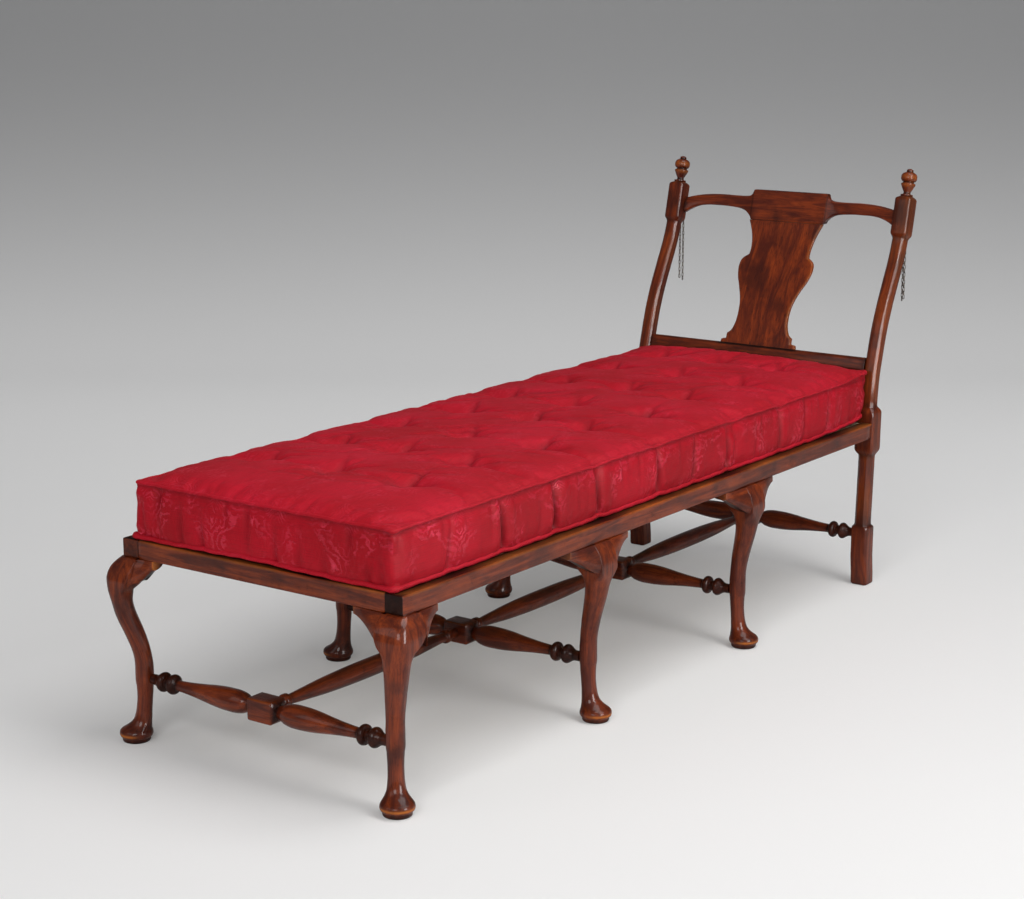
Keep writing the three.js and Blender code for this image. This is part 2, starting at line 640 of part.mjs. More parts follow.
function post(sign) {
  const rows = postRings();
  const rings = rows.map((row) => rounded(-row.half, row.half, -row.half, row.half, [row.corner], 3));
  const body = loft(rings, (p, i) => {
    const { z } = rows[i];
    const tilt = z > SEAT_BLOCK_HIGH ? postTilt(z) : 0;
    return new THREE.Vector3(postX(z) + p.x * Math.cos(tilt), POST_Y + p.y, z - p.x * Math.sin(tilt));
  });
  const sideMortise = box(
    headBlockFront - MARGIN, headBlockFront + TENON_LENGTH,
    HALF_WIDTH - (RAIL_THICK + TENON_THICK) / 2 - GAP, HALF_WIDTH - (RAIL_THICK - TENON_THICK) / 2 + GAP,
    tenonLow - GAP, tenonHigh + GAP,
  );
  const headMortise = box(
    headTenonX[0] - GAP, headTenonX[1] + GAP, headRailHalf - MARGIN, headRailHalf + TENON_LENGTH,
    tenonLow - GAP, tenonHigh + GAP,
  );
  const socket = bar(
    'y', 0, POST_Y - POST_FOOT / 2 + STRETCHER_TENON, STRETCHER_TENON_RADIUS + GAP,
    HEAD_STRETCHER_X, STRETCHER_Z,
  );
  const pinHole = bar(
    'y', 0, POST_Y - STILE / 2 + PIN_DEPTH, PIN_RADIUS + GAP, postX(PIVOT_Z), PIVOT_Z,
  );
  const stapleHoles = [-1, 1].map((side) => ironHole(
    blockRear(POST_EYE_Z), POST_Y + side * EYE_HALF, POST_EYE_Z,
  ));
  return mirrored(cut(body, sideMortise, headMortise, socket, pinHole, ...stapleHoles), sign);
}
sided('head_post', post, WOOD);

// Four turned stretchers across, each with a square block at its middle.
function crossStretcher(x, end, tenonEnd) {
  const rows = [];
  const ring = (y, half, corner) => rows.push({ y, half, corner });
  const turned = end - STRETCHER_BLOCK_HALF;
  const side = (sign) => {
    const half = [];
    half.push({ y: STRETCHER_BLOCK_HALF - SHOULDER, half: STRETCHER_BLOCK / 2, corner: BLOCK_EASE });
    half.push({ y: STRETCHER_BLOCK_HALF, half: STRETCHER_BLOCK / 2 - SHOULDER, corner: SHAFT_CHAMFER });
    TURNING_SHARES.forEach(([t, r]) => half.push({
      y: STRETCHER_BLOCK_HALF + t * turned, half: r * STRETCHER_RADIUS, corner: r * STRETCHER_RADIUS,
    }));
    half.push({ y: end, half: STRETCHER_NECK, corner: STRETCHER_NECK });
    half.push({ y: end, half: STRETCHER_TENON_RADIUS, corner: STRETCHER_TENON_RADIUS });
    half.push({ y: tenonEnd, half: STRETCHER_TENON_RADIUS, corner: STRETCHER_TENON_RADIUS });
    return half.map((row) => ({ ...row, y: sign * row.y }));
  };
  side(-1).reverse().forEach((row) => ring(row.y, row.half, row.corner));
  side(1).forEach((row) => ring(row.y, row.half, row.corner));
  const rings = rows.map((row) => rounded(-row.half, row.half, -row.half, row.half, [row.corner], 3));
  const body = loft(rings, (p, i) => new THREE.Vector3(x + p.x, rows[i].y, STRETCHER_Z + p.y));
  return body;
}

// Where a stretcher meets a leg's inner side, at the leg's own radius there.
const shankAtStretcher = SHANK_SHARES[1][2] * LEG_STOCK / 2;
const stretchers = legCentres.map((leg) => ({
  name: leg.name, x: stretcherX(leg), end: leg.y - shankAtStretcher, tenonEnd: leg.y - GAP,
}));
stretchers.push({
  name: 'head', x: HEAD_STRETCHER_X, end: POST_Y - POST_FOOT / 2,
  tenonEnd: POST_Y - POST_FOOT / 2 + STRETCHER_TENON - GAP,
});

const blockHalf = STRETCHER_BLOCK / 2;
stretchers.forEach((item, i) => {
  const holes = [];
  if (i > 0) {
    holes.push(bar(
      'x', item.x - blockHalf - MARGIN, item.x - blockHalf + SPINDLE_TENON, SPINDLE_TENON_RADIUS + GAP,
      0, STRETCHER_Z,
    ));
  }
  if (i < stretchers.length - 1) {
    holes.push(bar(
      'x', item.x + blockHalf - SPINDLE_TENON, item.x + blockHalf + MARGIN, SPINDLE_TENON_RADIUS + GAP,
      0, STRETCHER_Z,
    ));
  }
  const turned = crossStretcher(item.x, item.end - GAP, item.tenonEnd);
  add(`cross_stretcher_${item.name}`, cut(turned, ...holes), WOOD);
});

// Three turned spindles join the blocks along the middle.
['foot', 'middle', 'head'].forEach((name, i) => {
  const from = stretchers[i].x + blockHalf;
  const to = stretchers[i + 1].x - blockHalf;
  const length = to - from;
  const rows = [
    { x: from - SPINDLE_TENON + GAP, r: SPINDLE_TENON_RADIUS },
    { x: from + GAP, r: SPINDLE_TENON_RADIUS },
  ];
  SPINDLE_SHARES.forEach(([t, r]) => rows.push({ x: from + GAP + t * length, r: r * SPINDLE_RADIUS }));
  [...rows].reverse().forEach((row) => {
    if (row.x < (from + to) / 2 - MARGIN) rows.push({ x: from + to - row.x, r: row.r });
  });
  const rings = rows.map((row) => round(row.r, 10));
  add(`middle_spindle_${name}`, loft(rings, (p, k) => new THREE.Vector3(
    rows[k].x, p.x, STRETCHER_Z + p.y,
  )), WOOD);
});

// The back turns on iron pins at the ends of its lower rail.
const pivotX = postX(PIVOT_Z);
const innerFace = POST_Y - STILE / 2;
const backHalf = innerFace - BACK_CLEAR;

const splatFoot = SPLAT_SHARES[0][1] * SPLAT_HALF - SHOULDER;
const splatHead = SPLAT_SHARES[SPLAT_SHARES.length - 1][1] * SPLAT_HALF - SHOULDER;

function lowerRail() {
  const [half, high] = [LOWER_RAIL_THICK / 2, LOWER_RAIL_HEIGHT / 2];
  const ring = rounded(-half, half, -high, high, [LOWER_RAIL_ROUND], 3);
  const place = (p, i) => new THREE.Vector3(
    pivotX + p.x * Math.cos(LOWER_RAIL_TILT) + p.y * Math.sin(LOWER_RAIL_TILT),
    i ? backHalf : -backHalf,
    PIVOT_Z + p.y * Math.cos(LOWER_RAIL_TILT) - p.x * Math.sin(LOWER_RAIL_TILT),
  );
  const bores = [-1, 1].map((sign) => bar(
    'y', sign * (backHalf - PIN_DEPTH), sign * (backHalf + MARGIN), PIN_RADIUS + PIN_PLAY,
    pivotX, PIVOT_Z, 16,
  ));
  const groove = splatGroove(SPLAT_LOW - SPLAT_TONGUE - GAP, SPLAT_LOW + MARGIN, splatFoot);
  return cut(loft([ring, ring], place), ...bores, groove);
}

sided('pivot_pin', (sign) => mirrored(bar(
  'y', backHalf - PIN_DEPTH + GAP, innerFace + PIN_DEPTH - GAP, PIN_RADIUS, pivotX, PIVOT_Z, 16,
), sign), IRON);

function bow(y) {
  return CREST_BOW * (1 - (y / crestHalf) ** 2);
}

// The splat's middle plane follows the posts' curve and the crest's bow.
function splatX(z) {
  const up = Math.max(0, (z - SPLAT_LOW) / (CREST_LOW - SPLAT_LOW));
  return postX(z) + SPLAT_SET_BACK * up + CREST_BOW / 2 * up;
}

function splatStrip(z0, z1, half, thick, steps) {
  const rings = [];
  const heights = [];
  for (let i = 0; i <= steps; i += 1) {
    heights.push(z0 + i / steps * (z1 - z0));
    rings.push(rounded(-thick / 2, thick / 2, -half, half, [thick / 4], 2));
  }
  return loft(rings, (p, i) => new THREE.Vector3(splatX(heights[i]) + p.x, p.y, heights[i]));
}

function splatGroove(z0, z1, half) {
  return splatStrip(z0, z1, half + GAP, SPLAT_TONGUE_THICK + 2 * GAP, 1);
}

function splat() {
  const height = CREST_LOW - GAP - SPLAT_LOW;
  const edge = SPLAT_THICK / 2;
  const rings = SPLAT_SHARES.map(([, w]) => rounded(
    -edge, edge, -w * SPLAT_HALF, w * SPLAT_HALF, [SPLAT_THICK / 6], 2,
  ));
  const body = loft(rings, (p, i) => {
    const z = SPLAT_LOW + SPLAT_SHARES[i][0] * height;
    return new THREE.Vector3(splatX(z) + p.x, p.y, z);
  });
  const low = splatStrip(
    SPLAT_LOW - SPLAT_TONGUE, SPLAT_LOW + MARGIN, splatFoot, SPLAT_TONGUE_THICK, 1,
  );
  const top = splatStrip(
    CREST_LOW - MARGIN, CREST_LOW + SPLAT_TONGUE, splatHead, SPLAT_TONGUE_THICK, 1,
  );
  return join(body, low, top);
}

const crestHalf = POST_Y - TOP_BLOCK / 2 - BACK_CLEAR;

function crestRear(y, z) {
  return postX(z) + CREST_FRONT + bow(y) + CREST_THICK;
}

function crest() {
  const half = [...CREST_SHARES];
  const rows = [...half.slice(1).reverse().map(([t, a, b]) => [-t, a, b]), ...half];
  const rings = rows.map(([, top, low]) => {
    const [z0, z1] = [CREST_LOW + low * CREST_RISE, CREST_LOW + top * CREST_RISE];
    const soft = Math.min(CREST_ROUND, (z1 - z0) / 3);
    return rounded(0, CREST_THICK, z0, z1, [RAIL_EDGE, soft, RAIL_EDGE, RAIL_EDGE], 3);
  });
  const body = loft(rings, (p, i) => {
    const y = rows[i][0] * crestHalf;
    return new THREE.Vector3(postX(p.y) + CREST_FRONT + bow(y) + p.x, y, p.y);
  });
  const groove = splatGroove(CREST_LOW - MARGIN, CREST_LOW + SPLAT_TONGUE + GAP, splatHead);
  const hookY = POST_Y - HOOK_IN;
  const holes = [-1, 1].map((sign) => ironHole(crestRear(hookY, BACK_EYE_Z), sign * hookY, BACK_EYE_Z));
  return cut(body, groove, ...holes);
}
add('lower_back_rail', lowerRail(), WOOD);
add('back_splat', splat(), WOOD);
add('crest_rail', crest(), WOOD);

// Each chain hangs behind its post from a staple there and a hook on the crest's end.
const linkOut = LINK_WIDTH / 2 + EYE_CLEAR;
const postEyeX = blockRear(POST_EYE_Z + LINK_WIDTH / 2) + linkOut;
const backEyeX = blockRear(BACK_EYE_Z + LINK_WIDTH / 2) + linkOut;
const postStrandY = POST_Y;
const backStrandY = POST_Y - STRAND_SPACING;

function postStaple() {
  const back = blockRear(POST_EYE_Z) - DRIVEN;
  const legs = [-1, 1].map((sign) => bar(
    'x', back, postEyeX, IRON_RADIUS, postStrandY + sign * EYE_HALF, POST_EYE_Z, 8,
  ));
  const reach = EYE_HALF + IRON_RADIUS / 2;
  return join(bar(
    'y', postStrandY - reach, postStrandY + reach, IRON_RADIUS, postEyeX, POST_EYE_Z, 8,
  ), ...legs);
}
sided('post_staple', (sign) => mirrored(postStaple(), sign), IRON);

// The hook's shank is driven into the crest and its arm reaches out behind the post.
function crestHook() {
  const y = POST_Y - HOOK_IN;
  const arm = bar('y', y - IRON_RADIUS / 2, backStrandY + HOOK_OUT, IRON_RADIUS, backEyeX, BACK_EYE_Z, 8);
  const shank = bar('x', crestRear(y, BACK_EYE_Z) - DRIVEN, backEyeX, IRON_RADIUS, y, BACK_EYE_Z, 8);
  const tipY = backStrandY + HOOK_OUT - IRON_RADIUS / 2;
  const tip = bar('z', BACK_EYE_Z, BACK_EYE_Z + HOOK_TIP, IRON_RADIUS, backEyeX, tipY, 8);
  return join(arm, shank, tip);
}
sided('crest_hook', (sign) => mirrored(crestHook(), sign), IRON);

// Chains. Each hangs as two strands of links, one from the post's staple and one from the hook.
function link(x, y, z, turned) {
  const [across, wire] = [LINK_WIDTH / 2 - WIRE / 2, WIRE / 2];
  const straight = LINK_PITCH / 2 - across + wire;
  const path = [];
  const arc = 3;
  for (let end = 0; end < 2; end += 1) {
    for (let k = 0; k <= arc; k += 1) {
      const angle = Math.PI * (end + k / arc);
      path.push([across * Math.cos(angle), (end ? -straight : straight) + across * Math.sin(angle)]);
    }
  }
  const position = [];
  const index = [];
  const sides = 4;
  path.forEach(([a, b], i) => {
    const [na, nb] = path[(i + 1) % path.length];
    const [pa, pb] = path[(i + path.length - 1) % path.length];
    const out = new THREE.Vector2(nb - pb, pa - na).normalize();
    for (let k = 0; k < sides; k += 1) {
      const angle = 2 * Math.PI * (k + 1 / 2) / sides;
      const o = wire * Math.SQRT2 * Math.cos(angle);
      const s = wire * Math.SQRT2 * Math.sin(angle);
      const [u, v] = [a + o * out.x, b + o * out.y];
      position.push(x + (turned ? s : u), y + (turned ? u : s), z + v);
    }
  });
  path.forEach((_, i) => {
    for (let k = 0; k < sides; k += 1) {
      const a = i * sides + k;
      const b = i * sides + (k + 1) % sides;
      const c = ((i + 1) % path.length) * sides;
      index.push(a, b, c + (k + 1) % sides, a, c + (k + 1) % sides, c + k);
    }
  });
  return closed(position, index);
}

// Neighbouring links are let into each other a little where they bear, so a strand is one body.
function strand(x, y, z, count) {
  const first = z + LINK_WIDTH / 2 - WIRE - LINK_PITCH / 2;
  const links = Array.from({ length: count }, (_, i) => link(
    x, y, first - i * (LINK_PITCH + GAP), i % 2 === 1,
  ));
  return join(...links);
}
sided('chain_on_post', (sign) => mirrored(
  strand(postEyeX, postStrandY, POST_EYE_Z, POST_LINKS), sign,
), IRON);
sided('chain_on_back', (sign) => mirrored(
  strand(backEyeX, backStrandY, BACK_EYE_Z, BACK_LINKS), sign,
), IRON);

// Cushion: crowned between its seams, tufted in rows, its sides drawn in and its head
// end swelling out between the posts.
const cushionLength = CUSHION_HEAD_X - CUSHION_FOOT_X;
const cushionWidth = 2 * CUSHION_HALF;

function cushionPoint(u, v, z, draw, swell) {
  const out = swell * CUSHION_HEAD_SWELL * u ** 6 * (1 - (2 * v - 1) ** 2);
  return [
    CUSHION_FOOT_X + draw + u * (cushionLength - 2 * draw) + out,
    -CUSHION_HALF + draw + v * (cushionWidth - 2 * draw),
    z,
  ];
}

function cushionTop(u, v) {
  const full = (1 - (2 * u - 1) ** 16) * (1 - (2 * v - 1) ** 4);
  let dip = 0;
  for (let i = 1; i <= TUFT_COLUMNS; i += 1) {
    for (let j = 1; j <= TUFT_ROWS; j += 1) {
      const away = Math.hypot(
        (u - i / (TUFT_COLUMNS + 1)) * cushionLength, (v - j / (TUFT_ROWS + 1)) * cushionWidth,
      ) / TUFT_RADIUS;
      dip += Math.exp(-2 * away * away);
    }
  }
  return CUSHION_SEAM + full * (CUSHION_CROWN - TUFT_DEPTH * dip);
}

function cushion() {
  const [columns, rows] = [CUSHION_COLUMNS, CUSHION_ROWS];
  const position = [];
  const index = [];
  const outline = [];
  for (let i = 0; i < columns; i += 1) outline.push([i / columns, 0]);
  for (let j = 0; j < rows; j += 1) outline.push([1, j / rows]);
  for (let i = columns; i > 0; i -= 1) outline.push([i / columns, 1]);
  for (let j = rows; j > 0; j -= 1) outline.push([0, j / rows]);
  const layers = [
    [CUSHION_LOW, CUSHION_ROLL, 0], [CUSHION_LOW + CUSHION_ROLL, 0, 0],
    [(CUSHION_LOW + CUSHION_SEAM) / 2, CUSHION_DRAW, 1 / 2], [CUSHION_SEAM, 0, 1],
  ];
  layers.forEach(([z, draw, swell]) => {
    outline.forEach(([u, v]) => position.push(...cushionPoint(u, v, z, draw, swell)));
  });
  const ring = outline.length;
  for (let k = 0; k + 1 < layers.length; k += 1) {
    for (let i = 0; i < ring; i += 1) {
      const a = k * ring + i;
      const b = k * ring + (i + 1) % ring;
      index.push(a, b, b + ring, a, b + ring, a + ring);
    }
  }
  const flat = outline.map(([u, v]) => new THREE.Vector2(...cushionPoint(u, v, 0, CUSHION_ROLL, 0)));
  cap(flat).forEach(([a, b, c]) => index.push(c, b, a));
  const rim = (layers.length - 1) * ring;
  const inner = position.length / 3;
  for (let j = 1; j < rows; j += 1) {
    for (let i = 1; i < columns; i += 1) {
      const [u, v] = [i / columns, j / rows];
      position.push(...cushionPoint(u, v, cushionTop(u, v), 0, 1));
    }
  }
  const at = (i, j) => {
    if (j === 0) return rim + i;
    if (i === columns) return rim + columns + j;
    if (j === rows) return rim + columns + rows + (columns - i);
    if (i === 0) return rim + 2 * columns + rows + (rows - j);
    return inner + (j - 1) * (columns - 1) + (i - 1);
  };
  for (let j = 0; j < rows; j += 1) {
    for (let i = 0; i < columns; i += 1) {
      index.push(at(i, j), at(i + 1, j), at(i + 1, j + 1), at(i, j), at(i + 1, j + 1), at(i, j + 1));
    }
  }
  return closed(position, index);
}
add('seat_cushion', cushion(), SILK);

// The origin lies on the floor under the middle of the whole piece.
root.updateMatrixWorld(true);
const bounds = new THREE.Box3().setFromObject(root);
const middle = bounds.getCenter(new THREE.Vector3());
root.position.set(-middle.x, -middle.y, -bounds.min.z);
root.updateMatrixWorld(true);

export default root;
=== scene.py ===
import math
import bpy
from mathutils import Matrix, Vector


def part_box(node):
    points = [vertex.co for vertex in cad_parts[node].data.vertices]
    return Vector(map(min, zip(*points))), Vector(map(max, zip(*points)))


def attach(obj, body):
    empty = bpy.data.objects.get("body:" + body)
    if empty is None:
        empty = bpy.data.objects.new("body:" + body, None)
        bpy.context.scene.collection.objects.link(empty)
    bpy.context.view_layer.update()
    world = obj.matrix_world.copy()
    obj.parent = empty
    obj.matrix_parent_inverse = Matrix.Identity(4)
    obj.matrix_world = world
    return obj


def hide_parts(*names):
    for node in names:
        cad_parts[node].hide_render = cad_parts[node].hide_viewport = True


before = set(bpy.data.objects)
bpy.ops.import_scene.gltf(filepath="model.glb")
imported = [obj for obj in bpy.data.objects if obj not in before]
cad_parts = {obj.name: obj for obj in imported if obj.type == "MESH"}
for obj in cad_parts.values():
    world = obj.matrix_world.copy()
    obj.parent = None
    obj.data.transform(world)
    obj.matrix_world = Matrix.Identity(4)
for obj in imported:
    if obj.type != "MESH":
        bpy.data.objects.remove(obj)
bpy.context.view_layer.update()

import zlib

import bmesh
import bpy
import numpy as np
from mathutils import Matrix, Vector

# Sizes are in millimetres from the foot rail's outer face, as in the solids, and become
# metres in the shared frame where a point is made.
MM = 0.001
FOOT_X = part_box("side_rail_near")[0].x / MM
SIDES = (("near", -1), ("far", 1))


def metres(point):
    return Vector(((point[0] + FOOT_X) * MM, point[1] * MM, point[2] * MM))


def along(table, place, column=1):
    """A smooth value through a table of shares that never overshoots."""
    x = [row[0] for row in table]
    y = [row[column] for row in table]
    h = [b - a for a, b in zip(x, x[1:])]
    d = [(b - a) / w for a, b, w in zip(y, y[1:], h)]
    m = [d[0]] + [0.0] * (len(x) - 2) + [d[-1]]
    for i in range(1, len(x) - 1):
        if d[i - 1] * d[i] > 0:
            w1, w2 = 2 * h[i] + h[i - 1], h[i] + 2 * h[i - 1]
            m[i] = (w1 + w2) / (w1 / d[i - 1] + w2 / d[i])
    i = 0
    while i < len(x) - 2 and place > x[i + 1]:
        i += 1
    t = (place - x[i]) / h[i]
    return (
        (2 * t**3 - 3 * t**2 + 1) * y[i]
        + (t**3 - 2 * t**2 + t) * h[i] * m[i]
        + (3 * t**2 - 2 * t**3) * y[i + 1]
        + (t**3 - t**2) * h[i] * m[i + 1]
    )


def fine(table, parts):
    """The table's own places with others evenly between them."""
    places = []
    for a, b in zip(table, table[1:]):
        places += [a[0] + (b[0] - a[0]) * k / parts for k in range(parts)]
    return places + [table[-1][0]]


def smooth(t):
    t = min(max(t, 0.0), 1.0)
    return t * t * (3 - 2 * t)


def near(value, centre, width):
    return math.exp(-(((value - centre) / width) ** 2))


HALF_WIDTH = 320
RAIL_TOP, RAIL_HEIGHT, RAIL_THICK = 378, 33.5, 38
RAIL_LOW = RAIL_TOP - RAIL_HEIGHT
GAP = 0.3
LEG_TOP = RAIL_LOW - GAP
REBATE_WIDTH, REBATE_DEPTH = 12, 5
SEAT_BLOCK, BACK_BLOCK = 45, 39
LEG_STOCK, BLOCK_DEPTH, KNEE_BULGE = 52, 40, 21
PAD_RADIUS, ANKLE, KNEE = 30.3, 92, 286
POST_X, LEAN, POST_HEIGHT, POST_Y = 1703, 168, 931, 299
PIVOT_Z = 500
# Tables of shares for along(): a place from 0 to 1, then what the form has there. PAD and SHANK
# give how far out the leg's middle stands and its radius, BULGE how far out the knee stands and how
# far its inner faces have come in, CREST its top and its lower edge, the others one measure each.
PAD = [
    [0, 1, 0.8], [0.022, 1, 0.84], [0.078, 1, 0.855], [0.1, 1, 0.94], [0.155, 1, 1], [0.2, 1, 0.985],
    [0.242, 0.95, 0.915], [0.285, 0.76, 0.8], [0.36, 0.5, 0.645], [0.435, 0.33, 0.555],
    [0.52, 0.23, 0.51], [0.65, 0.14, 0.475], [0.83, 0.05, 0.465], [1, 0, 0.485],
]
SHANK = [
    [0, 0, 0.485], [0.062, 0, 0.59], [0.125, 0, 0.645], [0.24, 0, 0.64], [0.33, 0.04, 0.625],
    [0.42, 0.14, 0.645], [0.51, 0.29, 0.685], [0.61, 0.49, 0.725], [0.71, 0.71, 0.775],
    [0.8, 0.88, 0.825], [0.9, 0.99, 0.9], [1, 1.02, 0.97],
]
BULGE = [
    [0, 1.1, 0], [0.12, 1.1, 0.3], [0.3, 1.1, 0.62], [0.5, 1.02, 0.88], [0.72, 0.82, 1],
    [0.9, 0.5, 1], [1, 0.26, 1],
]
BRACKET = [
    [0, 1], [0.12, 0.93], [0.3, 0.78], [0.46, 0.63], [0.6, 0.51], [0.75, 0.4], [0.9, 0.31], [1, 0.27],
]
LOBE = [[0, 1], [0.18, 0.96], [0.42, 0.8], [0.66, 0.56], [0.8, 0.45], [0.92, 0.42], [1, 0.38]]
LEAN_LINE = [
    [0, -0.018], [0.022, -0.021], [0.075, -0.05], [0.15, -0.045], [0.226, -0.024], [0.322, 0],
    [0.44, 0.018], [0.505, 0.054], [0.562, 0.131], [0.619, 0.226], [0.675, 0.354], [0.73, 0.51],
    [0.785, 0.667], [0.836, 0.774], [0.886, 0.845], [0.937, 0.914], [1, 1],
]
FINIAL = [
    [0.012, 0.78], [0.05, 0.78], [0.065, 0.5], [0.13, 0.44], [0.22, 0.58], [0.34, 0.78], [0.42, 0.9],
    [0.46, 0.88], [0.48, 0.7], [0.52, 0.68], [0.55, 0.86], [0.64, 1], [0.72, 1], [0.82, 0.84],
    [0.87, 0.55], [0.885, 0.42], [0.95, 0.42], [0.995, 0.2],
]
TURNING = [
    [0.005, 0.56], [0.03, 0.64], [0.08, 0.88], [0.16, 1], [0.24, 0.99], [0.34, 0.91], [0.48, 0.71],
    [0.62, 0.54], [0.74, 0.46], [0.748, 0.5], [0.756, 0.7], [0.768, 0.84], [0.783, 0.88], [0.799, 0.83],
    [0.81, 0.68], [0.818, 0.5], [0.846, 0.5], [0.854, 0.66], [0.866, 0.82], [0.88, 0.87], [0.896, 0.82],
    [0.914, 0.68], [0.935, 0.54], [0.955, 0.47], [1, 0.45],
]
SPINDLE = [
    [0.001, 0.52], [0.035, 0.54], [0.048, 0.76], [0.062, 0.76], [0.072, 0.53], [0.14, 0.64],
    [0.26, 0.86], [0.4, 0.98], [0.5, 1],
]
CREST = [
    [0, 1, 0], [0.2, 1, 0], [0.33, 1, 0], [0.346, 0.995, 0.01], [0.352, 0.93, 0.07],
    [0.362, 0.85, 0.12], [0.385, 0.79, 0.2], [0.42, 0.765, 0.28], [0.46, 0.755, 0.33],
    [0.54, 0.755, 0.37], [0.64, 0.765, 0.39], [0.74, 0.755, 0.39], [0.83, 0.725, 0.36],
    [0.91, 0.675, 0.27], [0.965, 0.625, 0.16], [1, 0.59, 0.07],
]
SPLAT = [
    [0, 1], [0.022, 0.985], [0.03, 0.87], [0.075, 0.86], [0.082, 0.83], [0.1, 0.77], [0.14, 0.715],
    [0.19, 0.68], [0.25, 0.67], [0.31, 0.682], [0.37, 0.72], [0.43, 0.785], [0.48, 0.85], [0.53, 0.92],
    [0.575, 0.96], [0.62, 0.982], [0.66, 0.97], [0.69, 0.92], [0.71, 0.84], [0.722, 0.795],
    [0.76, 0.786], [0.81, 0.8], [0.86, 0.83], [0.91, 0.875], [0.96, 0.935], [1, 0.985],
]


def post_x(z):
    return POST_X + LEAN * along(LEAN_LINE, z / POST_HEIGHT)


def post_tilt(z):
    return math.atan2(post_x(z + 2) - post_x(z - 2), 4)


def points_in(geom):
    return [g for g in geom if isinstance(g, bmesh.types.BMVert)]


def strung(bm, points, closed=False):
    """New points in a row and the edges from each to the next."""
    verts = [bm.verts.new(p) for p in points]
    return verts, [bm.edges.new(pair) for pair in zip(verts, verts[1:] + (verts[:1] if closed else []))]


def skin(rings, ring_closed=False):
    """A closed surface bridged from ring to ring, each ring with as many points."""
    bm = bmesh.new()
    loops = [strung(bm, [metres(p) for p in ring], closed=True)[1] for ring in rings]
    for a, b in zip(loops, loops[1:] + (loops[:1] if ring_closed else [])):
        bmesh.ops.bridge_loops(bm, edges=a + b)
    if not ring_closed:
        for loop in (loops[0], loops[-1]):
            bmesh.ops.contextual_create(bm, geom=loop)
    return bm


def turned(profile, height, steps=32):
    """A piece turned about a line along X at that height, from (place, radius) points."""
    bm = bmesh.new()
    verts, edges = strung(bm, [metres((x, 0, height + r)) for x, r in profile])
    bmesh.ops.spin(bm, geom=verts + edges, cent=metres((0, 0, height)), axis=(1, 0, 0),
                   angle=math.tau, steps=steps, use_merge=True, dvec=(0, 0, 0))
    bmesh.ops.remove_doubles(bm, verts=bm.verts, dist=1e-7)
    return bm


def placed(name, data):
    obj = bpy.data.objects.new(name, data)
    bpy.context.scene.collection.objects.link(obj)
    return obj


def finish_piece(name, bm, body, nodes, material=None, shade=None, sharp=32):
    """Turns a bmesh into a finished piece. shade gives each point, in mm, its place in the
    grain and how worn and how dark it is, or is a list of these in the points' order."""
    bmesh.ops.recalc_face_normals(bm, faces=bm.faces)
    mesh = bpy.data.meshes.new(name)
    bm.to_mesh(mesh)
    bm.free()
    if shade is not None:
        if callable(shade):
            points = [v.co / MM - Vector((FOOT_X, 0, 0)) for v in mesh.vertices]
            shade = [shade(p.x, p.y, p.z) for p in points]
        grain = mesh.attributes.new("grain", "FLOAT_VECTOR", "POINT")
        own = np.array([zlib.crc32((name + k).encode()) % 1000 / 100 for k in "abc"])
        values = np.array([row[0] for row in shade], float) * MM + own
        grain.data.foreach_set("vector", values.astype(np.float32).ravel())
        for key, column in (("wear_and_light", 1), ("dark", 2)):
            layer = mesh.attributes.new(key, "FLOAT", "POINT")
            values = np.clip([row[column] for row in shade], 0, 1)
            layer.data.foreach_set("value", values.astype(np.float32))
    mesh.shade_smooth()
    if sharp:
        mesh.set_sharp_from_angle(angle=math.radians(sharp))
    obj = placed(name, mesh)
    mesh.materials.append(material or WOOD)
    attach(obj, body)
    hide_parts(*nodes)
    return obj


def eased(corners, ease, parts):
    """A polygon with each corner eased by a short curve."""
    out = []
    for i, p in enumerate(corners):
        trio = (p, corners[i - 1], corners[(i + 1) % len(corners)])
        p, before, after = (np.array(q, float) for q in trio)
        a = p + (before - p) * min(ease / max(np.linalg.norm(before - p), 1e-6), 0.45)
        b = p + (after - p) * min(ease / max(np.linalg.norm(after - p), 1e-6), 0.45)
        for k in range(parts):
            t = k / (parts - 1)
            out.append((1 - t) ** 2 * a + 2 * t * (1 - t) * p + t**2 * b)
    return out


def chamfered(half, chamfer, ease, parts):
    """A square with flat chamfers, or a round where the chamfer is all of it."""
    if chamfer >= 0.98 * half:
        n = 8 * parts
        angles = [math.tau * (k + 0.5 - parts / 2) / n for k in range(n)]
        return [(half * math.cos(a), half * math.sin(a)) for a in angles]
    h, c = half, half - chamfer
    corners = [(h, c), (c, h), (-c, h), (-h, c), (-h, -c), (-c, -h), (c, -h), (h, -c)]
    return eased(corners, min(ease, chamfer * 0.45), parts)


def rounded(x0, x1, y0, y1, radii, steps):
    most = min(x1 - x0, y1 - y0) / 2 * 0.999
    out = []
    for i, (x, y) in enumerate([(x1, y1), (x0, y1), (x0, y0), (x1, y0)]):
        r = min(radii[i % len(radii)], most)
        cx = x - r if x == x1 else x + r
        cy = y - r if y == y1 else y + r
        for k in range(steps):
            a = math.pi / 2 * (i + k / (steps - 1))
            out.append((cx + r * math.cos(a), cy + r * math.sin(a)))
    return np.array(out)


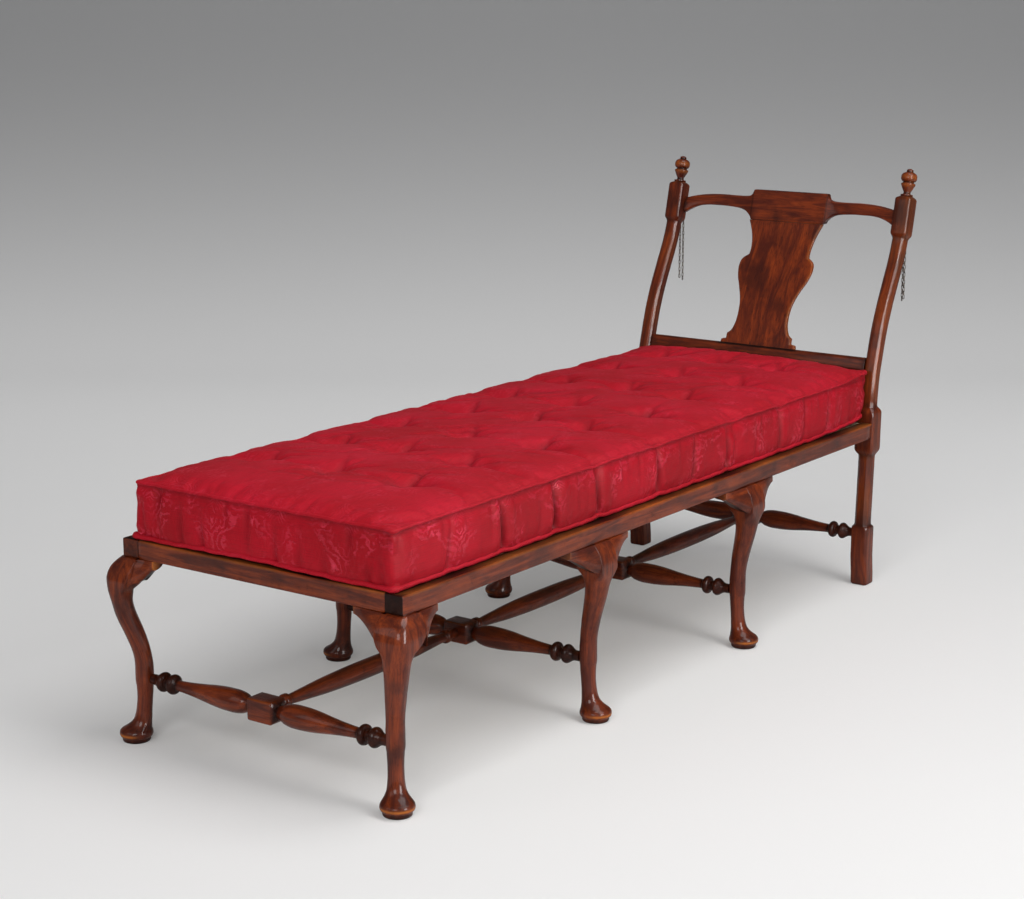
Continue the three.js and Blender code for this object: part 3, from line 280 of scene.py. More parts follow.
class Sock:
    """A shader socket that takes part in sums."""

    def __init__(self, shader, socket):
        self.shader, self.socket = shader, socket

    def math(self, operation, *others, clamp=False):
        return self.shader.node("ShaderNodeMath", {"operation": operation, "use_clamp": clamp},
                                dict(enumerate((self, *others))))

    def __add__(self, other):
        return self.math("ADD", other)

    def __sub__(self, other):
        return self.math("SUBTRACT", other)

    def __rsub__(self, other):
        return (self * -1.0).math("ADD", other)

    def __mul__(self, other):
        return self.math("MULTIPLY", other)

    def __truediv__(self, other):
        return self.math("DIVIDE", other)

    def clamp(self):
        return self.math("MULTIPLY", 1.0, clamp=True)

    def step(self, low, high):
        """0 below low, 1 above high and smooth between."""
        return self.shader.node("ShaderNodeMapRange", {"interpolation_type": "SMOOTHSTEP"},
                                {"Value": self, "From Min": low, "From Max": high}, "Result")

    def stretch(self, x, y, z):
        return self.shader.node("ShaderNodeVectorMath", {"operation": "MULTIPLY"}, {0: self, 1: (x, y, z)})

    def parts(self):
        split = self.shader.node("ShaderNodeSeparateXYZ", {}, {"Vector": self})
        return [Sock(self.shader, s) for s in split.socket.node.outputs]


class Shader:
    """A material of nodes that ends in one principled surface."""

    def __init__(self, name):
        self.material = bpy.data.materials.new(name)
        self.material.use_nodes = True
        self.tree = self.material.node_tree
        self.tree.nodes.clear()
        out = self.tree.nodes.new("ShaderNodeOutputMaterial")
        self.surface = self.tree.nodes.new("ShaderNodeBsdfPrincipled")
        self.tree.links.new(self.surface.outputs[0], out.inputs[0])

    def feed(self, socket, value):
        if isinstance(value, Sock):
            self.tree.links.new(value.socket, socket)
        elif socket.type == "RGBA" and len(value) == 3:
            socket.default_value = (*value, 1)
        else:
            socket.default_value = value

    def node(self, kind, settings, values, output=0):
        node = self.tree.nodes.new(kind)
        for key, value in settings.items():
            setattr(node, key, value)
        for key, value in values.items():
            self.feed(node.inputs[key], value)
        return Sock(self, node.outputs[output])

    def attribute(self, name, output="Fac"):
        return self.node("ShaderNodeAttribute", {"attribute_name": name}, {}, output)

    def place(self):
        return self.node("ShaderNodeTexCoord", {}, {}, "Object")

    def noise(self, vector, scale, detail=3.0, roughness=0.55, distortion=0.0):
        return self.node("ShaderNodeTexNoise", {}, {
            "Vector": vector, "Scale": scale, "Detail": detail, "Roughness": roughness,
            "Distortion": distortion})

    def wave(self, vector, direction, scale, distortion):
        return self.node("ShaderNodeTexWave", {"bands_direction": direction},
                         {"Vector": vector, "Scale": scale, "Distortion": distortion})

    def mix(self, share, a, b):
        return self.node("ShaderNodeMix", {"data_type": "RGBA"}, {0: share, 6: a, 7: b}, 2)

    def bump(self, height, strength, distance, under=None):
        values = {"Height": height, "Strength": strength, "Distance": distance}
        return self.node("ShaderNodeBump", {}, values if under is None else {**values, "Normal": under})

    def set(self, **values):
        for key, value in values.items():
            self.feed(self.surface.inputs[key.replace("_", " ")], value)


def colour(*screen):
    """Linear colour from the 0 to 255 values seen on a screen."""
    return tuple(v / 255 / 12.92 if v <= 10 else ((v / 255 + 0.055) / 1.055) ** 2.4 for v in screen)


def polished_wood():
    s = Shader("old_polished_wood")
    grain, place = s.attribute("grain", "Vector"), s.place()
    wear_and_light, dark = s.attribute("wear_and_light"), s.attribute("dark")
    figure = s.noise(grain.stretch(6, 64, 64), 1.0, 3, 0.6, 1.0)
    streak = s.noise(grain.stretch(9, 260, 260), 1.0, 3, 0.6, 0.3)
    pore = s.noise(grain.stretch(45, 1300, 1300), 1.0, 2, 0.5)
    cloud = s.noise(place, 12.0, 3, 0.6)
    blotch = s.noise(place, 38.0, 4, 0.65)
    tone = figure.step(0.32, 0.7)
    base = s.mix(tone, colour(78, 26, 10), colour(136, 55, 17))
    base = s.mix(streak.step(0.42, 0.66) * 0.42, base, colour(84, 26, 9))
    base = s.mix(cloud.step(0.47, 0.72) * 0.7, base, colour(52, 15, 7))
    base = s.mix(pore.step(0.54, 0.7) * 0.6, base, colour(26, 8, 4))
    base = s.mix(blotch.step(0.6, 0.74) * 0.5, base, colour(32, 11, 6))
    # Darkening towards near black: dark joints and end grain, and painted shade on the rails' tops, the
    # brackets' undersides, the posts' shaded sides, the legs' and posts' feet, the stretchers' beads, the
    # lower back rail and the crest's step.
    base = s.mix(dark, base, colour(17, 6, 4))
    # Lightening towards orange: real wear on the rails' beads, the pads' rims, the brackets and the
    # stretchers' block corners, and painted light on the posts' lit faces and chamfers, the finial's beads,
    # the splat's near edge and the far inner bracket's tip.
    base = s.mix((wear_and_light * (blotch * 0.9 + 0.35)).clamp(), base, colour(196, 112, 44))
    s.set(Base_Color=base, Coat_Roughness=0.09, Coat_IOR=1.5, Specular_IOR_Level=0.12)
    s.set(Roughness=(blotch * 0.2 + wear_and_light * 0.15 - tone * 0.05) + 0.36)
    s.set(Coat_Weight=(0.5 - wear_and_light * 0.25 - dark * 0.4 - blotch.step(0.5, 0.75) * 0.2).clamp())
    relief = s.bump(streak * 0.5 - pore.step(0.5, 0.72) * 0.6, 0.35, 0.0004)
    s.set(Normal=s.bump(s.noise(place, 42.0, 2, 0.5), 0.16, 0.0016, relief))
    return s.material


def dark_iron():
    s = Shader("dark_iron")
    place = s.place()
    cloud = s.noise(place, 120.0, 4, 0.6)
    rust = s.noise(place, 420.0, 3, 0.65)
    base = s.mix(cloud.step(0.4, 0.7), colour(82, 76, 72), colour(150, 142, 132))
    s.set(Base_Color=s.mix(rust.step(0.55, 0.75) * 0.6, base, colour(92, 58, 42)))
    s.set(Metallic=0.95 - rust.step(0.55, 0.8) * 0.6, Roughness=cloud * 0.25 + 0.38)
    s.set(Normal=s.bump(rust, 0.4, 0.0003))
    return s.material


def sacking():
    s = Shader("plain_sacking")
    place = s.place()
    warp, weft = s.wave(place, "X", 260.0, 0.6), s.wave(place, "Y", 260.0, 0.6)
    cloud = s.noise(place, 14.0, 4, 0.6)
    base = s.mix(cloud.step(0.35, 0.7), colour(150, 132, 100), colour(196, 180, 146))
    s.set(Base_Color=s.mix(warp * weft * 0.45, base, colour(110, 94, 68)), Roughness=0.93)
    s.set(Normal=s.bump(warp + weft, 0.5, 0.0006))
    return s.material


def crimson_silk():
    """Satin with a common lattice of feathered leaves woven in, mirrored about each stripe. The
    cushion's sides lie beyond BOXING_ROW in the cloth's own map, its top before it."""
    s = Shader("crimson_silk_damask")
    cloth = s.node("ShaderNodeUVMap", {"uv_map": "cloth"}, {})
    place = s.place()
    across, run = cloth.parts()[:2]
    boxing = run.step(3.0, 4.0)
    u, v = across / 0.15, run / 0.19
    wob = s.noise(cloth, 30.0, 3, 0.6) - 0.5
    ripple = s.noise(cloth, 95.0, 2, 0.5) - 0.5
    cu, cv = (u * math.tau).math("COSINE"), (v * math.tau).math("COSINE")
    lattice = cu * 0.9 + cv * 0.9 + wob * 1.2
    arch = (u * math.pi).math("SINE").math("ABSOLUTE") * 5.0
    sweep = arch + (v * (2 * math.tau)).math("COSINE") * 1.6 + wob * 4.0
    feather = (sweep * 5.0 + lattice * 3.5 + ripple * 9.0).math("SINE").step(0.1, 0.5)
    leaves = (lattice.step(-0.9, -0.7) - lattice.step(0.6, 0.8)) * feather
    flower = lattice.step(0.95, 1.1) * (sweep * 7.5 + cv * 4.0 + ripple * 5.0).math("SINE").step(0.0, 0.35)
    patchy = s.noise(cloth, 15.0, 3, 0.6).step(0.42, 0.62)
    figure = ((leaves + flower) * patchy * (boxing * 0.65 + 0.35)).clamp()
    glint = s.noise(cloth, 26.0, 2, 0.5).step(0.56, 0.68) * figure
    fold = s.attribute("fold")
    weave = s.wave(cloth, "X", 420.0, 0.4)
    slub = s.noise(cloth.stretch(30, 900, 900), 1.0, 2, 0.6)
    fade = s.noise(place, 6.0, 4, 0.6)
    # The top is painted lighter and pinker than the sides, as painted light on the top.
    top = s.mix(fade.step(0.3, 0.7), colour(168, 8, 26), colour(188, 16, 40))
    side = s.mix(fade.step(0.3, 0.7), colour(158, 2, 20), colour(182, 5, 31))
    base = s.mix(boxing, top, side)
    # Painted sheen: the woven figure and its glints are lightened towards pink in patches, more on the sides.
    base = s.mix((figure * 0.34 + glint * 0.5).clamp(), base, colour(228, 64, 90))
    base = s.mix(slub.step(0.45, 0.7) * 0.35, base, colour(104, 6, 20))
    # Painted shade in the folds and creases and in lines beside the welts.
    base = s.mix((fold * 0.62).clamp(), base, colour(66, 2, 11))
    s.set(Base_Color=base, Roughness=slub * 0.1 - figure * 0.26 - boxing * 0.14 + 0.64)
    s.set(Sheen_Weight=0.02, Sheen_Roughness=0.4, Sheen_Tint=(1.0, 0.3, 0.35, 1.0), Specular_IOR_Level=0.19)
    threads = s.bump(weave * 0.5 + slub * 0.6, 0.25, 0.0003)
    creases = s.noise(cloth.stretch(24, 14, 24), 1.0, 3, 0.6, 0.8)
    s.set(Normal=s.bump(figure * 0.5 + creases * 2.6, 0.5, 0.0018, threads))
    return s.material


WOOD, IRON, CANVAS, SILK = polished_wood(), dark_iron(), sacking(), crimson_silk()
for node, material in (("canvas_deck", CANVAS), ("pivot_pin_near", IRON), ("pivot_pin_far", IRON)):
    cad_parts[node].data.materials.clear()
    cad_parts[node].data.materials.append(material)


def rail(node, start, end, place, end_grain=0):
    """A rail with a worn bead along its outer top edge and a rebate inside for the sacking.
    place turns along, in from the outer face and height into a point. end_grain is how dark
    the cut end at the foot is."""
    t, h = RAIL_THICK, RAIL_HEIGHT
    w, d = REBATE_WIDTH, REBATE_DEPTH
    section = [(0.8, 0), (0, 0.8)] + [(0, h * k / 6) for k in range(1, 6)]
    section += [(0, h - 2.2), (0.25, h - 1.2), (0.8, h - 0.5), (1.7, h - 0.05), (3.2, h)]
    section += [(t - w - 1, h), (t - w, h - 1), (t - w, h - d), (t - 1, h - d), (t, h - d - 1), (t, h / 2)]
    section += [(t, 1), (t - 1, 0)] + [(t * k / 5, 0) for k in range(4, 0, -1)]
    length = end - start
    rings, shade = [], []
    for s in [0, 0.4, 1.2] + [length * k / 60 for k in range(1, 60)] + [length - 1.2, length - 0.4, length]:
        inset = 0.8 * (1 - smooth(min(s, length - s) / 1.2))
        ring = []
        for a, b in section:
            if end_grain and s < t and a > t - w - 2 and b > h - d - 2:
                b = h
            a += inset * (1 if a < t / 2 else -1)
            b += inset * (1 if b < h / 2 else -1)
            ring.append(place(start + s, a, RAIL_LOW + b))
            patchy = 0.5 + 0.5 * math.sin(s * 0.021 + 1.3) * math.sin(s * 0.0067 + 0.4)
            bead = a < 3.3 and b > h - 2.8
            cut_end = end_grain and s < 0.5
            inner = a > t - w - 1.5 and b > h - d - 1
            # Painted shade: the rail's top beside the bead is darkened as the shadow under the cushion's
            # welt.
            top_shade = 0.94 * (a > 2.6 and b > h - 1.5)
            wear_and_light = 0.45 * patchy * bead * (s > 4 or not end_grain)
            shade.append(((start + s, a, b), wear_and_light, end_grain if cut_end else max(0.4 * inner, top_shade)))
        rings.append(ring)
    finish_piece(f"{node}_wood", skin(rings), "frame", [node], shade=shade, sharp=40)


block_front = post_x(RAIL_LOW) - SEAT_BLOCK / 2
for side, sign in SIDES:
    rail(f"side_rail_{side}", 0, block_front - GAP,
         lambda s, a, z, sign=sign: (s, sign * (HALF_WIDTH - a), z), end_grain=0.92 if sign < 0 else 0.4)
inner = HALF_WIDTH - RAIL_THICK - GAP
rail("foot_rail", -inner, inner, lambda s, a, z: (a, s, z))
head_front = post_x(RAIL_TOP) - RAIL_THICK / 2
head_half = POST_Y - SEAT_BLOCK / 2 - GAP
rail("head_rail", -head_half, head_half, lambda s, a, z: (head_front + RAIL_THICK - a, s, z))


LEGS = {
    "foot": dict(x=13, y=HALF_WIDTH - 29, corner=True, toe=13, knee=25),
    "second": dict(x=577.3, y=HALF_WIDTH - 23, corner=False, toe=17.5, knee=19),
    "third": dict(x=1131.4, y=HALF_WIDTH - 23, corner=False, toe=17.5, knee=19),
}
CORNER_STEPS, KNEE_ROWS, SQUARE_FROM = 14, 26, 258


def leg_rings(leg):
    """Round pad and shank, then a knee that grows square under the rail. Each ring is its
    height, its points and the shank's middle there."""
    rows = []
    corner = leg["corner"]

    def circle(z, out, radius):
        reach = out * (leg["toe"] if z < ANKLE else leg["knee"])
        points = rounded(-radius, radius, -radius, radius, [radius], CORNER_STEPS)
        flat = 0.2 * max(out, 0) ** 4 * (points[:, 1] - points[:, 0]) / 2 if corner and z > ANKLE else 0
        centre = np.array([leg["x"] - reach * corner, leg["y"] + reach])
        ones = np.ones(len(points))
        return z, points + np.stack([flat * ones, -flat * ones], 1) + centre, centre

    for h in fine(PAD, 3):
        rows.append(circle(h * ANKLE, along(PAD, h, 1), along(PAD, h, 2) * PAD_RADIUS))
    for h in fine(SHANK, 4)[2:]:
        radius = along(SHANK, h, 2) * LEG_STOCK / 2
        if h < SHANK[1][0]:
            pad_top = PAD_RADIUS * PAD[-1][2]
            radius = pad_top + (SHANK[1][2] * LEG_STOCK / 2 - pad_top) * h / SHANK[1][0]
        rows.append(circle(ANKLE + h * (KNEE - ANKLE), along(SHANK, h, 1), radius))
    last, centre = rows[-1][1:]
    high_x, low_y = last[:, 0].max(), last[:, 1].min()
    rows += [(KNEE + k / KNEE_ROWS * (LEG_TOP - KNEE), last, centre) for k in range(1, KNEE_ROWS + 1)]

    def squared(z):
        h = max((z - KNEE) / (LEG_TOP - KNEE), 0)
        bulge, inward = along(BULGE, h, 1) * KNEE_BULGE, along(BULGE, h, 2)
        inner_y = low_y + inward * (HALF_WIDTH - BLOCK_DEPTH - low_y)
        outer_y = HALF_WIDTH + bulge
        edge = 1.5 + 20 * (1 - smooth((z - SQUARE_FROM - 4) / 34))
        if not corner:
            half = LEG_STOCK / 2
            return rounded(leg["x"] - half, leg["x"] + half, inner_y, outer_y, [edge], CORNER_STEPS)
        x1 = high_x + inward * (BLOCK_DEPTH - high_x)
        ridge = 21 - 5 * smooth(h / 0.8)
        return rounded(-1.42 * bulge, x1, inner_y, outer_y, [edge, ridge], CORNER_STEPS)

    out = []
    for z, points, centre in rows:
        share = smooth((z - SQUARE_FROM) / 40)
        out.append((z, points * (1 - share) + squared(z) * share if share else points, centre))
    return out


for leg_name, leg in LEGS.items():
    for side, sign in SIDES:
        rings, shade = [], []
        for z, points, centre in leg_rings(leg):
            rings.append([(x, sign * y, z) for x, y in points])
            for x, y in points:
                outward = (y - centre[1]) - ((x - centre[0]) if leg["corner"] else 0)
                rim = near(z, 14, 2.2) * smooth(outward / 24 * 0.7 + 0.35)
                shadow = 0.75 * (1 - smooth((z - 2) / 9)) + 0.3 * near(z, 26, 14)
                shade.append(((z, x - centre[0], y - centre[1]), rim, min(shadow, 0.85)))
        finish_piece(f"leg_{leg_name}_wood_{side}", skin(rings), "frame", [f"leg_{leg_name}_{side}"],
                     shade=shade, sharp=38)


def bracket(node, length, drop, thick, place, profile=BRACKET):
    """A knee bracket that fades from the knee's bulge to the rail's face. It is drawn running
    out along +X from the knee block, with the rail's outer face at y 0 and the knee in +Y.
    profile is its lower edge, as shares of length and drop."""
    out, down = 26, 14
    rings, shade = [], []
    for i in range(out + 1):
        t = i / out
        deep = along(profile, t) * drop
        low = LEG_TOP - deep
        section = []
        for k in range(down + 1):
            z = LEG_TOP - k / down * deep
            bulge = along(BULGE, min(max((z - KNEE) / (LEG_TOP - KNEE), 0), 1)) * KNEE_BULGE
            tuck = 7.0 * (max(0.0, k / down - 0.72) / 0.28) ** 2 * smooth(t / 0.12)
            section.append((bulge * (1 - t) ** 1.25 - tuck, z))
        edge, front = section[-1][0], len(section)
        section += [(edge - 1.6, low + 0.3), (edge * 0.5 - thick * 0.3, low + 0.6)]
        section += [(-thick * 0.6, low + 0.1 * deep), (-thick * 0.84, low + 0.3 * deep)]
        section += [(-thick, low + 0.6 * deep), (-thick, LEG_TOP)]
        rings.append([place(t * (length + 6) - 6, y, z) for y, z in section])
        for k, (y, z) in enumerate(section):
            # Lighter towards the tip: some wear on the other brackets, and a painted lit end on the far inner
            # bracket.
            wear_and_light = (0.25 if profile is BRACKET else 0.9) * smooth((t - 0.9) / 0.1)
            # Painted shade: the back and underside of the bracket are darkened.
            shade.append(((t * length, y, z - LEG_TOP), wear_and_light * (k < front), 0.8 * (k >= front)))
    name = node.replace("_near", "_wood_near").replace("_far", "_wood_far")
    finish_piece(name, skin(rings), "frame", [node], shade=shade, sharp=30)


for side, sign in SIDES:
    bracket(f"knee_bracket_foot_head_{side}", 53, 55, RAIL_THICK,
            lambda x, y, z: (BLOCK_DEPTH + x, sign * (HALF_WIDTH + y), z))
    bracket(f"knee_bracket_foot_inner_{side}", *((65, 58) if sign < 0 else (34, 44)), 26,
            lambda x, y, z: (-y, sign * (HALF_WIDTH - BLOCK_DEPTH - x), z), BRACKET if sign < 0 else LOBE)
    for leg_name in ("second", "third"):
        for word, end in (("head", 1), ("foot", -1)):
            start = LEGS[leg_name]["x"] + end * LEG_STOCK / 2
            bracket(f"knee_bracket_{leg_name}_{word}_{side}", 70, 55, RAIL_THICK,
                    lambda x, y, z: (start + end * x, sign * (HALF_WIDTH + y), z))


def post_rows():
    """Height, size and chamfer, from the floor to the finial."""
    rows = [(0, 35, 3), (1.5, 38.4, 4), (3, 39.6, 4.2)]
    rows += [(6 + k * 20.5, 40, 4.2) for k in range(7)]
    rows += [(133, 40, 4.4), (135.5, 39.2, 5), (137.5, 37.2, 6.4), (139, 34.8, 7.6), (141, 33.4, 8.2)]
    rows += [(145 + k * 21, 33, 8.4) for k in range(8)]
    rows += [(299, 33.2, 8), (302, 34.5, 7), (305, 37.5, 5.5), (309, 41.5, 4.2), (313, 44, 3.6)]
    rows += [(317 + k * 21, 45, 3.4) for k in range(4)]
    rows += [(396, 45, 3.4), (400, 44.2, 3.8), (404, 41.5, 4.6), (408, 37, 6), (411, 33, 7)]
    rows += [(414, 31.3, 6.6)] + [(414 + k * 10.4, 31, 6.4) for k in range(1, 35)]
    rows += [(775, 31, 6.4), (778, 32, 6), (781, 34.5, 5), (784, 37.5, 4.2), (787, 39, 3.8)]
    rows += [(787 + k * 10, 39, 3.6) for k in range(1, 8)]
    rows += [(863, 39, 3.6), (866, 37.5, 4.6), (868.5, 33.5, 8), (870.5, 29, 13.9)]
    for h in fine(FINIAL, 3):
        size = along(FINIAL, h) * 36
        rows.append((871 + h * 60, size, size / 2))
    return rows


POST_JOINTS = (140, 302, 413, 777, 869)
FINIAL_GROOVES = ((877, 2.6), (900.5, 2.0), (924.5, 2.2))
for side, sign in SIDES:
    rings, shade = [], []
    for z, size, chamfer in post_rows():
        half = size / 2
        tilt = post_tilt(z) * smooth((z - 405) / 25)
        joint = max(near(z, c, 5) for c in POST_JOINTS)
        groove = max(near(z, c, wide) for c, wide in FINIAL_GROOVES)
        ring = []
        for x, y in chamfered(half, chamfer, 1.2, 4):
            ring.append((post_x(z) + x * math.cos(tilt), sign * (POST_Y + y), z - x * math.sin(tilt)))
            on_edge = half > 12 and abs(abs(abs(x) - abs(y)) - half + chamfer) > chamfer * 0.9
            patch = 0.5 + 0.5 * math.sin(z * 0.045 + sign)
            # Painted light: beside the chamfers the edges are lightened towards orange, in patches.
            edge = near(abs(x) + abs(y), 2 * half - chamfer, 1.5) if half > 12 and z < 870 else 0
            # Painted light: the near post's outer face is lightened towards orange where the key light falls
            # on it.
            lit_face = 0.16 * smooth((sign * -y - 0.3 * half) / (0.6 * half)) * (sign < 0)
            lit_face *= smooth((z - 410) / 20)
            # Rubbed wear and a painted glint on the finial's two widest beads.
            turning = 0.35 * max(near(z, 912, 5), near(z, 894, 4))
            # Painted shade: the far post's inner face and the near post's foot-facing face are darkened, most
            # on the near post's top block.
            inward = -y if sign > 0 else -x
            side_shade_most = 0.36 if sign > 0 else 0.2 + 0.32 * near(z, 826, 44)
            side_shade = side_shade_most * smooth((inward - 0.5 * half) / (0.4 * half)) * (z > 405)
            wear_and_light = max(0.14 * patch * edge * (not on_edge), lit_face * (0.5 + 0.5 * patch), turning)
            # Dark at the joints, darker in the finial's grooves, and painted shade at the floor.
            dark = max(0.5 * joint + 0.45 * (1 - smooth(z / 10)), 0.9 * groove, side_shade)
            shade.append(((z, x, y), wear_and_light, dark))
        rings.append(ring)
    finish_piece(f"head_post_wood_{side}", skin(rings), "frame", [f"head_post_{side}"],
                 shade=shade, sharp=24)


STRETCHER_Z, STRETCHER_R, BLOCK_HALF, BLOCK_SIDE, SPINDLE_R = 117, 21, 32, 20.5, 17.6
STRETCHER_GROOVES = (0.0, 0.74, 0.832, 0.95)
shank_there = SHANK[2][2] * LEG_STOCK / 2
CROSS = [
    ("foot", 17, LEGS["foot"]["y"] - shank_there),
    ("second", LEGS["second"]["x"], LEGS["second"]["y"] - shank_there),
    ("third", LEGS["third"]["x"], LEGS["third"]["y"] - shank_there),
    ("head", 1696, POST_Y - 20),
]
for name, x0, end in CROSS:
    half = [(0, BLOCK_SIDE, 2.2), (12, BLOCK_SIDE, 2.2), (24.5, BLOCK_SIDE, 2.4), (25.5, 20.2, 2.8)]
    half.append((28, 17.8, 5))
    half += [(30.5, 15.2, 8), (BLOCK_HALF, 13.6, 11)]
    for t in fine(TURNING, 4):
        r = along(TURNING, t) * STRETCHER_R
        half.append((BLOCK_HALF + t * (end - GAP - BLOCK_HALF), r, r))
    rings, shade = [], []
    for y, h, c in [(-y, h, c) for y, h, c in reversed(half[1:])] + half:
        s = (abs(y) - BLOCK_HALF) / (end - BLOCK_HALF)
        groove = max(near(s, g, 0.02) for g in STRETCHER_GROOVES)
        ring = []
        for a, b in chamfered(h, c, 1.0, 5):
            ring.append((x0 + a, y, STRETCHER_Z + b))
            corner = s < -0.02 and abs(abs(a) - h) < 3 and abs(abs(b) - h) < 3
            # Painted shade in the grooves and along the beaded ends by the legs; the blocks' tops are darker
            # too.
            dark = max(0.85 * groove, 0.25 * (s < 0 and b > 15), 0.72 * smooth((s - 0.7) / 0.05))
            shade.append(((y, a, b), 0.12 * corner, dark))
        rings.append(ring)
    finish_piece(f"cross_stretcher_wood_{name}", skin(rings), "frame", [f"cross_stretcher_{name}"],
                 shade=shade, sharp=28)

for i, name in enumerate(("foot", "middle", "head")):
    x0, x1 = CROSS[i][1] + BLOCK_SIDE + GAP, CROSS[i + 1][1] - BLOCK_SIDE - GAP
    half = [(t, along(SPINDLE, t) * SPINDLE_R) for t in fine(SPINDLE, 6)]
    profile = [(0, 0)] + half + [(1 - t, r) for t, r in reversed(half[:-1])] + [(1, 0)]

    def spindle_shade(x, y, z, x0=x0, x1=x1):
        ends = min(x - x0, x1 - x) / (x1 - x0)
        return (x, y, z - STRETCHER_Z), 0, 0.3 + 0.4 * near(ends, 0, 0.02) + 0.3 * near(ends, 0.075, 0.012)

    spindle = turned([(x0 + t * (x1 - x0), r) for t, r in profile], STRETCHER_Z)
    finish_piece(f"middle_spindle_wood_{name}", spindle, "frame", [f"middle_spindle_{name}"],
                 shade=spindle_shade, sharp=28)


POST_SIZE, BACK_CLEAR = 31, 1.2
back_half = POST_Y - POST_SIZE / 2 - BACK_CLEAR
crest_half = POST_Y - BACK_BLOCK / 2 - BACK_CLEAR
CREST_LOW, CREST_RISE, CREST_THICK, SPLAT_LOW = 794, 69, 19.5, 519
SPLAT_HALF, PLATE_END = 98, 0.35


def bow(y):
    return 8 * (1 - (y / crest_half) ** 2)


def splat_x(z):
    up = max(0.0, (z - SPLAT_LOW) / (CREST_LOW - SPLAT_LOW))
    return post_x(z) + 9 * up


def lower_rail():
    section = rounded(-12, 12, -18, 18, [4.5, 7, 6, 4.5], 5)
    lean, rings, shade = 0.27, [], []
    places = list(np.linspace(6 - back_half, back_half - 6, 41))
    for y in [-back_half, 0.6 - back_half, *places, back_half - 0.6, back_half]:
        ring = section * (1 - 0.03 * (1 - smooth((back_half - abs(y)) / 0.6)))
        rings.append([(post_x(PIVOT_Z) + a * math.cos(lean) + b * math.sin(lean), y,
                       PIVOT_Z + b * math.cos(lean) - a * math.sin(lean)) for a, b in ring])
        ends = 0.7 * near(abs(y), back_half, 9)
        # Painted shade on the rail's top, deepest under the splat, and on its lower part; darker at the ends.
        top = 0.95 if abs(y) < SPLAT_HALF + 6 else 0.45
        shade += [((y, a, b), 0, max(top * (b > 13), ends, 0.5 * (b < -6))) for a, b in ring]
    finish_piece("lower_back_rail_wood", skin(rings), "back", ["lower_back_rail"], shade=shade, sharp=40)


def splat():
    rings, shade = [], []
    for t in sorted(set(fine(SPLAT, 4) + [0.0015, 0.9985])):
        z = SPLAT_LOW + t * (CREST_LOW - GAP - SPLAT_LOW)
        w = along(SPLAT, t) * SPLAT_HALF
        corners = rounded(-4.5, 4.5, -w, w, [1.5], 4).tolist()
        across = [(w - 6) * k / 4 for k in range(-4, 5)]
        ring = corners[:4] + [(0, w)] + corners[4:8] + [(-4.5, y) for y in reversed(across)]
        ring += corners[8:12] + [(0, -w)] + corners[12:] + [(4.5, y) for y in across]
        # The foot follows the sloping top of the rail that it stands on.
        rings.append([(splat_x(z) + x, y, z if t else SPLAT_LOW - 2.2 - 0.28 * x) for x, y in ring])
        # Painted light on the edge towards the near side, with a little wear on both edges.
        shade += [((z * 1.5, y * 0.6, x), (0.3 if y < 0 else 0.05) * (abs(y) > w - 1.6), 0)
                  for x, y in ring]
    finish_piece("back_splat_wood", skin(rings), "back", ["back_splat"], shade=shade, sharp=40)


def crest():
    half = sorted(set([round(t, 4) for t in fine(CREST, 5)] + [k / 70 for k in range(71)] + [0.998]))
    rings, shade = [], []
    for t in [-t for t in reversed(half[1:])] + half:
        a = abs(t)
        z0 = CREST_LOW + along(CREST, a, 2) * CREST_RISE
        z1 = CREST_LOW + along(CREST, a, 1) * CREST_RISE
        wing = smooth((a - PLATE_END) / 0.08)
        radii = [min(8.5, (z1 - z0) / 2.6), min(7.0, (z1 - z0) / 3) * wing + 1.2,
                 min(5.0, (z1 - z0) / 3) * wing + 1, 2]
        ring = rounded(0, CREST_THICK, z0, z1, radii, 5)
        y = t * crest_half
        rings.append([(post_x(z) + 1 + bow(y) + x, y, z) for x, z in ring])
        # Darker at the arms' ends and on the middle plate's top; the step at the plate's end is painted
        # shade.
        end = max(0.75 * smooth((a - 0.955) / 0.045), 0.45 * near(a, 0.351, 0.006))
        shade += [((y, z, x), 0, max(0.6 * (a < PLATE_END and z > z1 - 2.5 and x > 1), end)) for x, z in ring]
    finish_piece("crest_rail_wood", skin(rings), "back", ["crest_rail"], shade=shade, sharp=32)


lower_rail()
splat()
crest()


def wire_rings(path, radius, sides, closed=False):
    """Rings of a wire along a path, with no twist between them."""
    path = [Vector(p) for p in path]
    rings, out = [], None
    for i, p in enumerate(path):
        before = path[i - 1] if i or closed else p
        after = path[(i + 1) % len(path)] if i + 1 < len(path) or closed else p
        ahead = (after - before).normalized()
        out = out or ahead.orthogonal()
        out = (out - ahead * out.dot(ahead)).normalized()
        across = ahead.cross(out)
        turn = [math.tau * k / sides for k in range(sides)]
        rings.append([p + out * (radius * math.cos(a)) + across * (radius * math.sin(a)) for a in turn])
    return rings


def bent(points, radius):
    """A path of straight runs joined by round bends."""
    points = [Vector(p) for p in points]
    out = [points[0]]
    for a, b, c in zip(points, points[1:], points[2:]):
        p, q = b + (a - b).normalized() * radius, b + (c - b).normalized() * radius
        out += [p * (1 - t) ** 2 + b * 2 * t * (1 - t) + q * t**2 for t in (0, 0.2, 0.4, 0.6, 0.8, 1)]
    return out + [points[-1]]


LINK_WIDTH, WIRE, PITCH, LINK_PLAY, IRON_R = 5.4, 1.7, 8.2, 0.3, 0.93
POST_EYE_Z, BACK_EYE_Z, EYE_CLEAR = 789, 809, 0.8
POST_LINKS, BACK_LINKS = 18, 21
STRAND_STEP, HOOK_IN, HOOK_REACH = 6, 31, 5


def block_rear(z):
    return post_x(z) + BACK_BLOCK / 2 / math.cos(post_tilt(z))


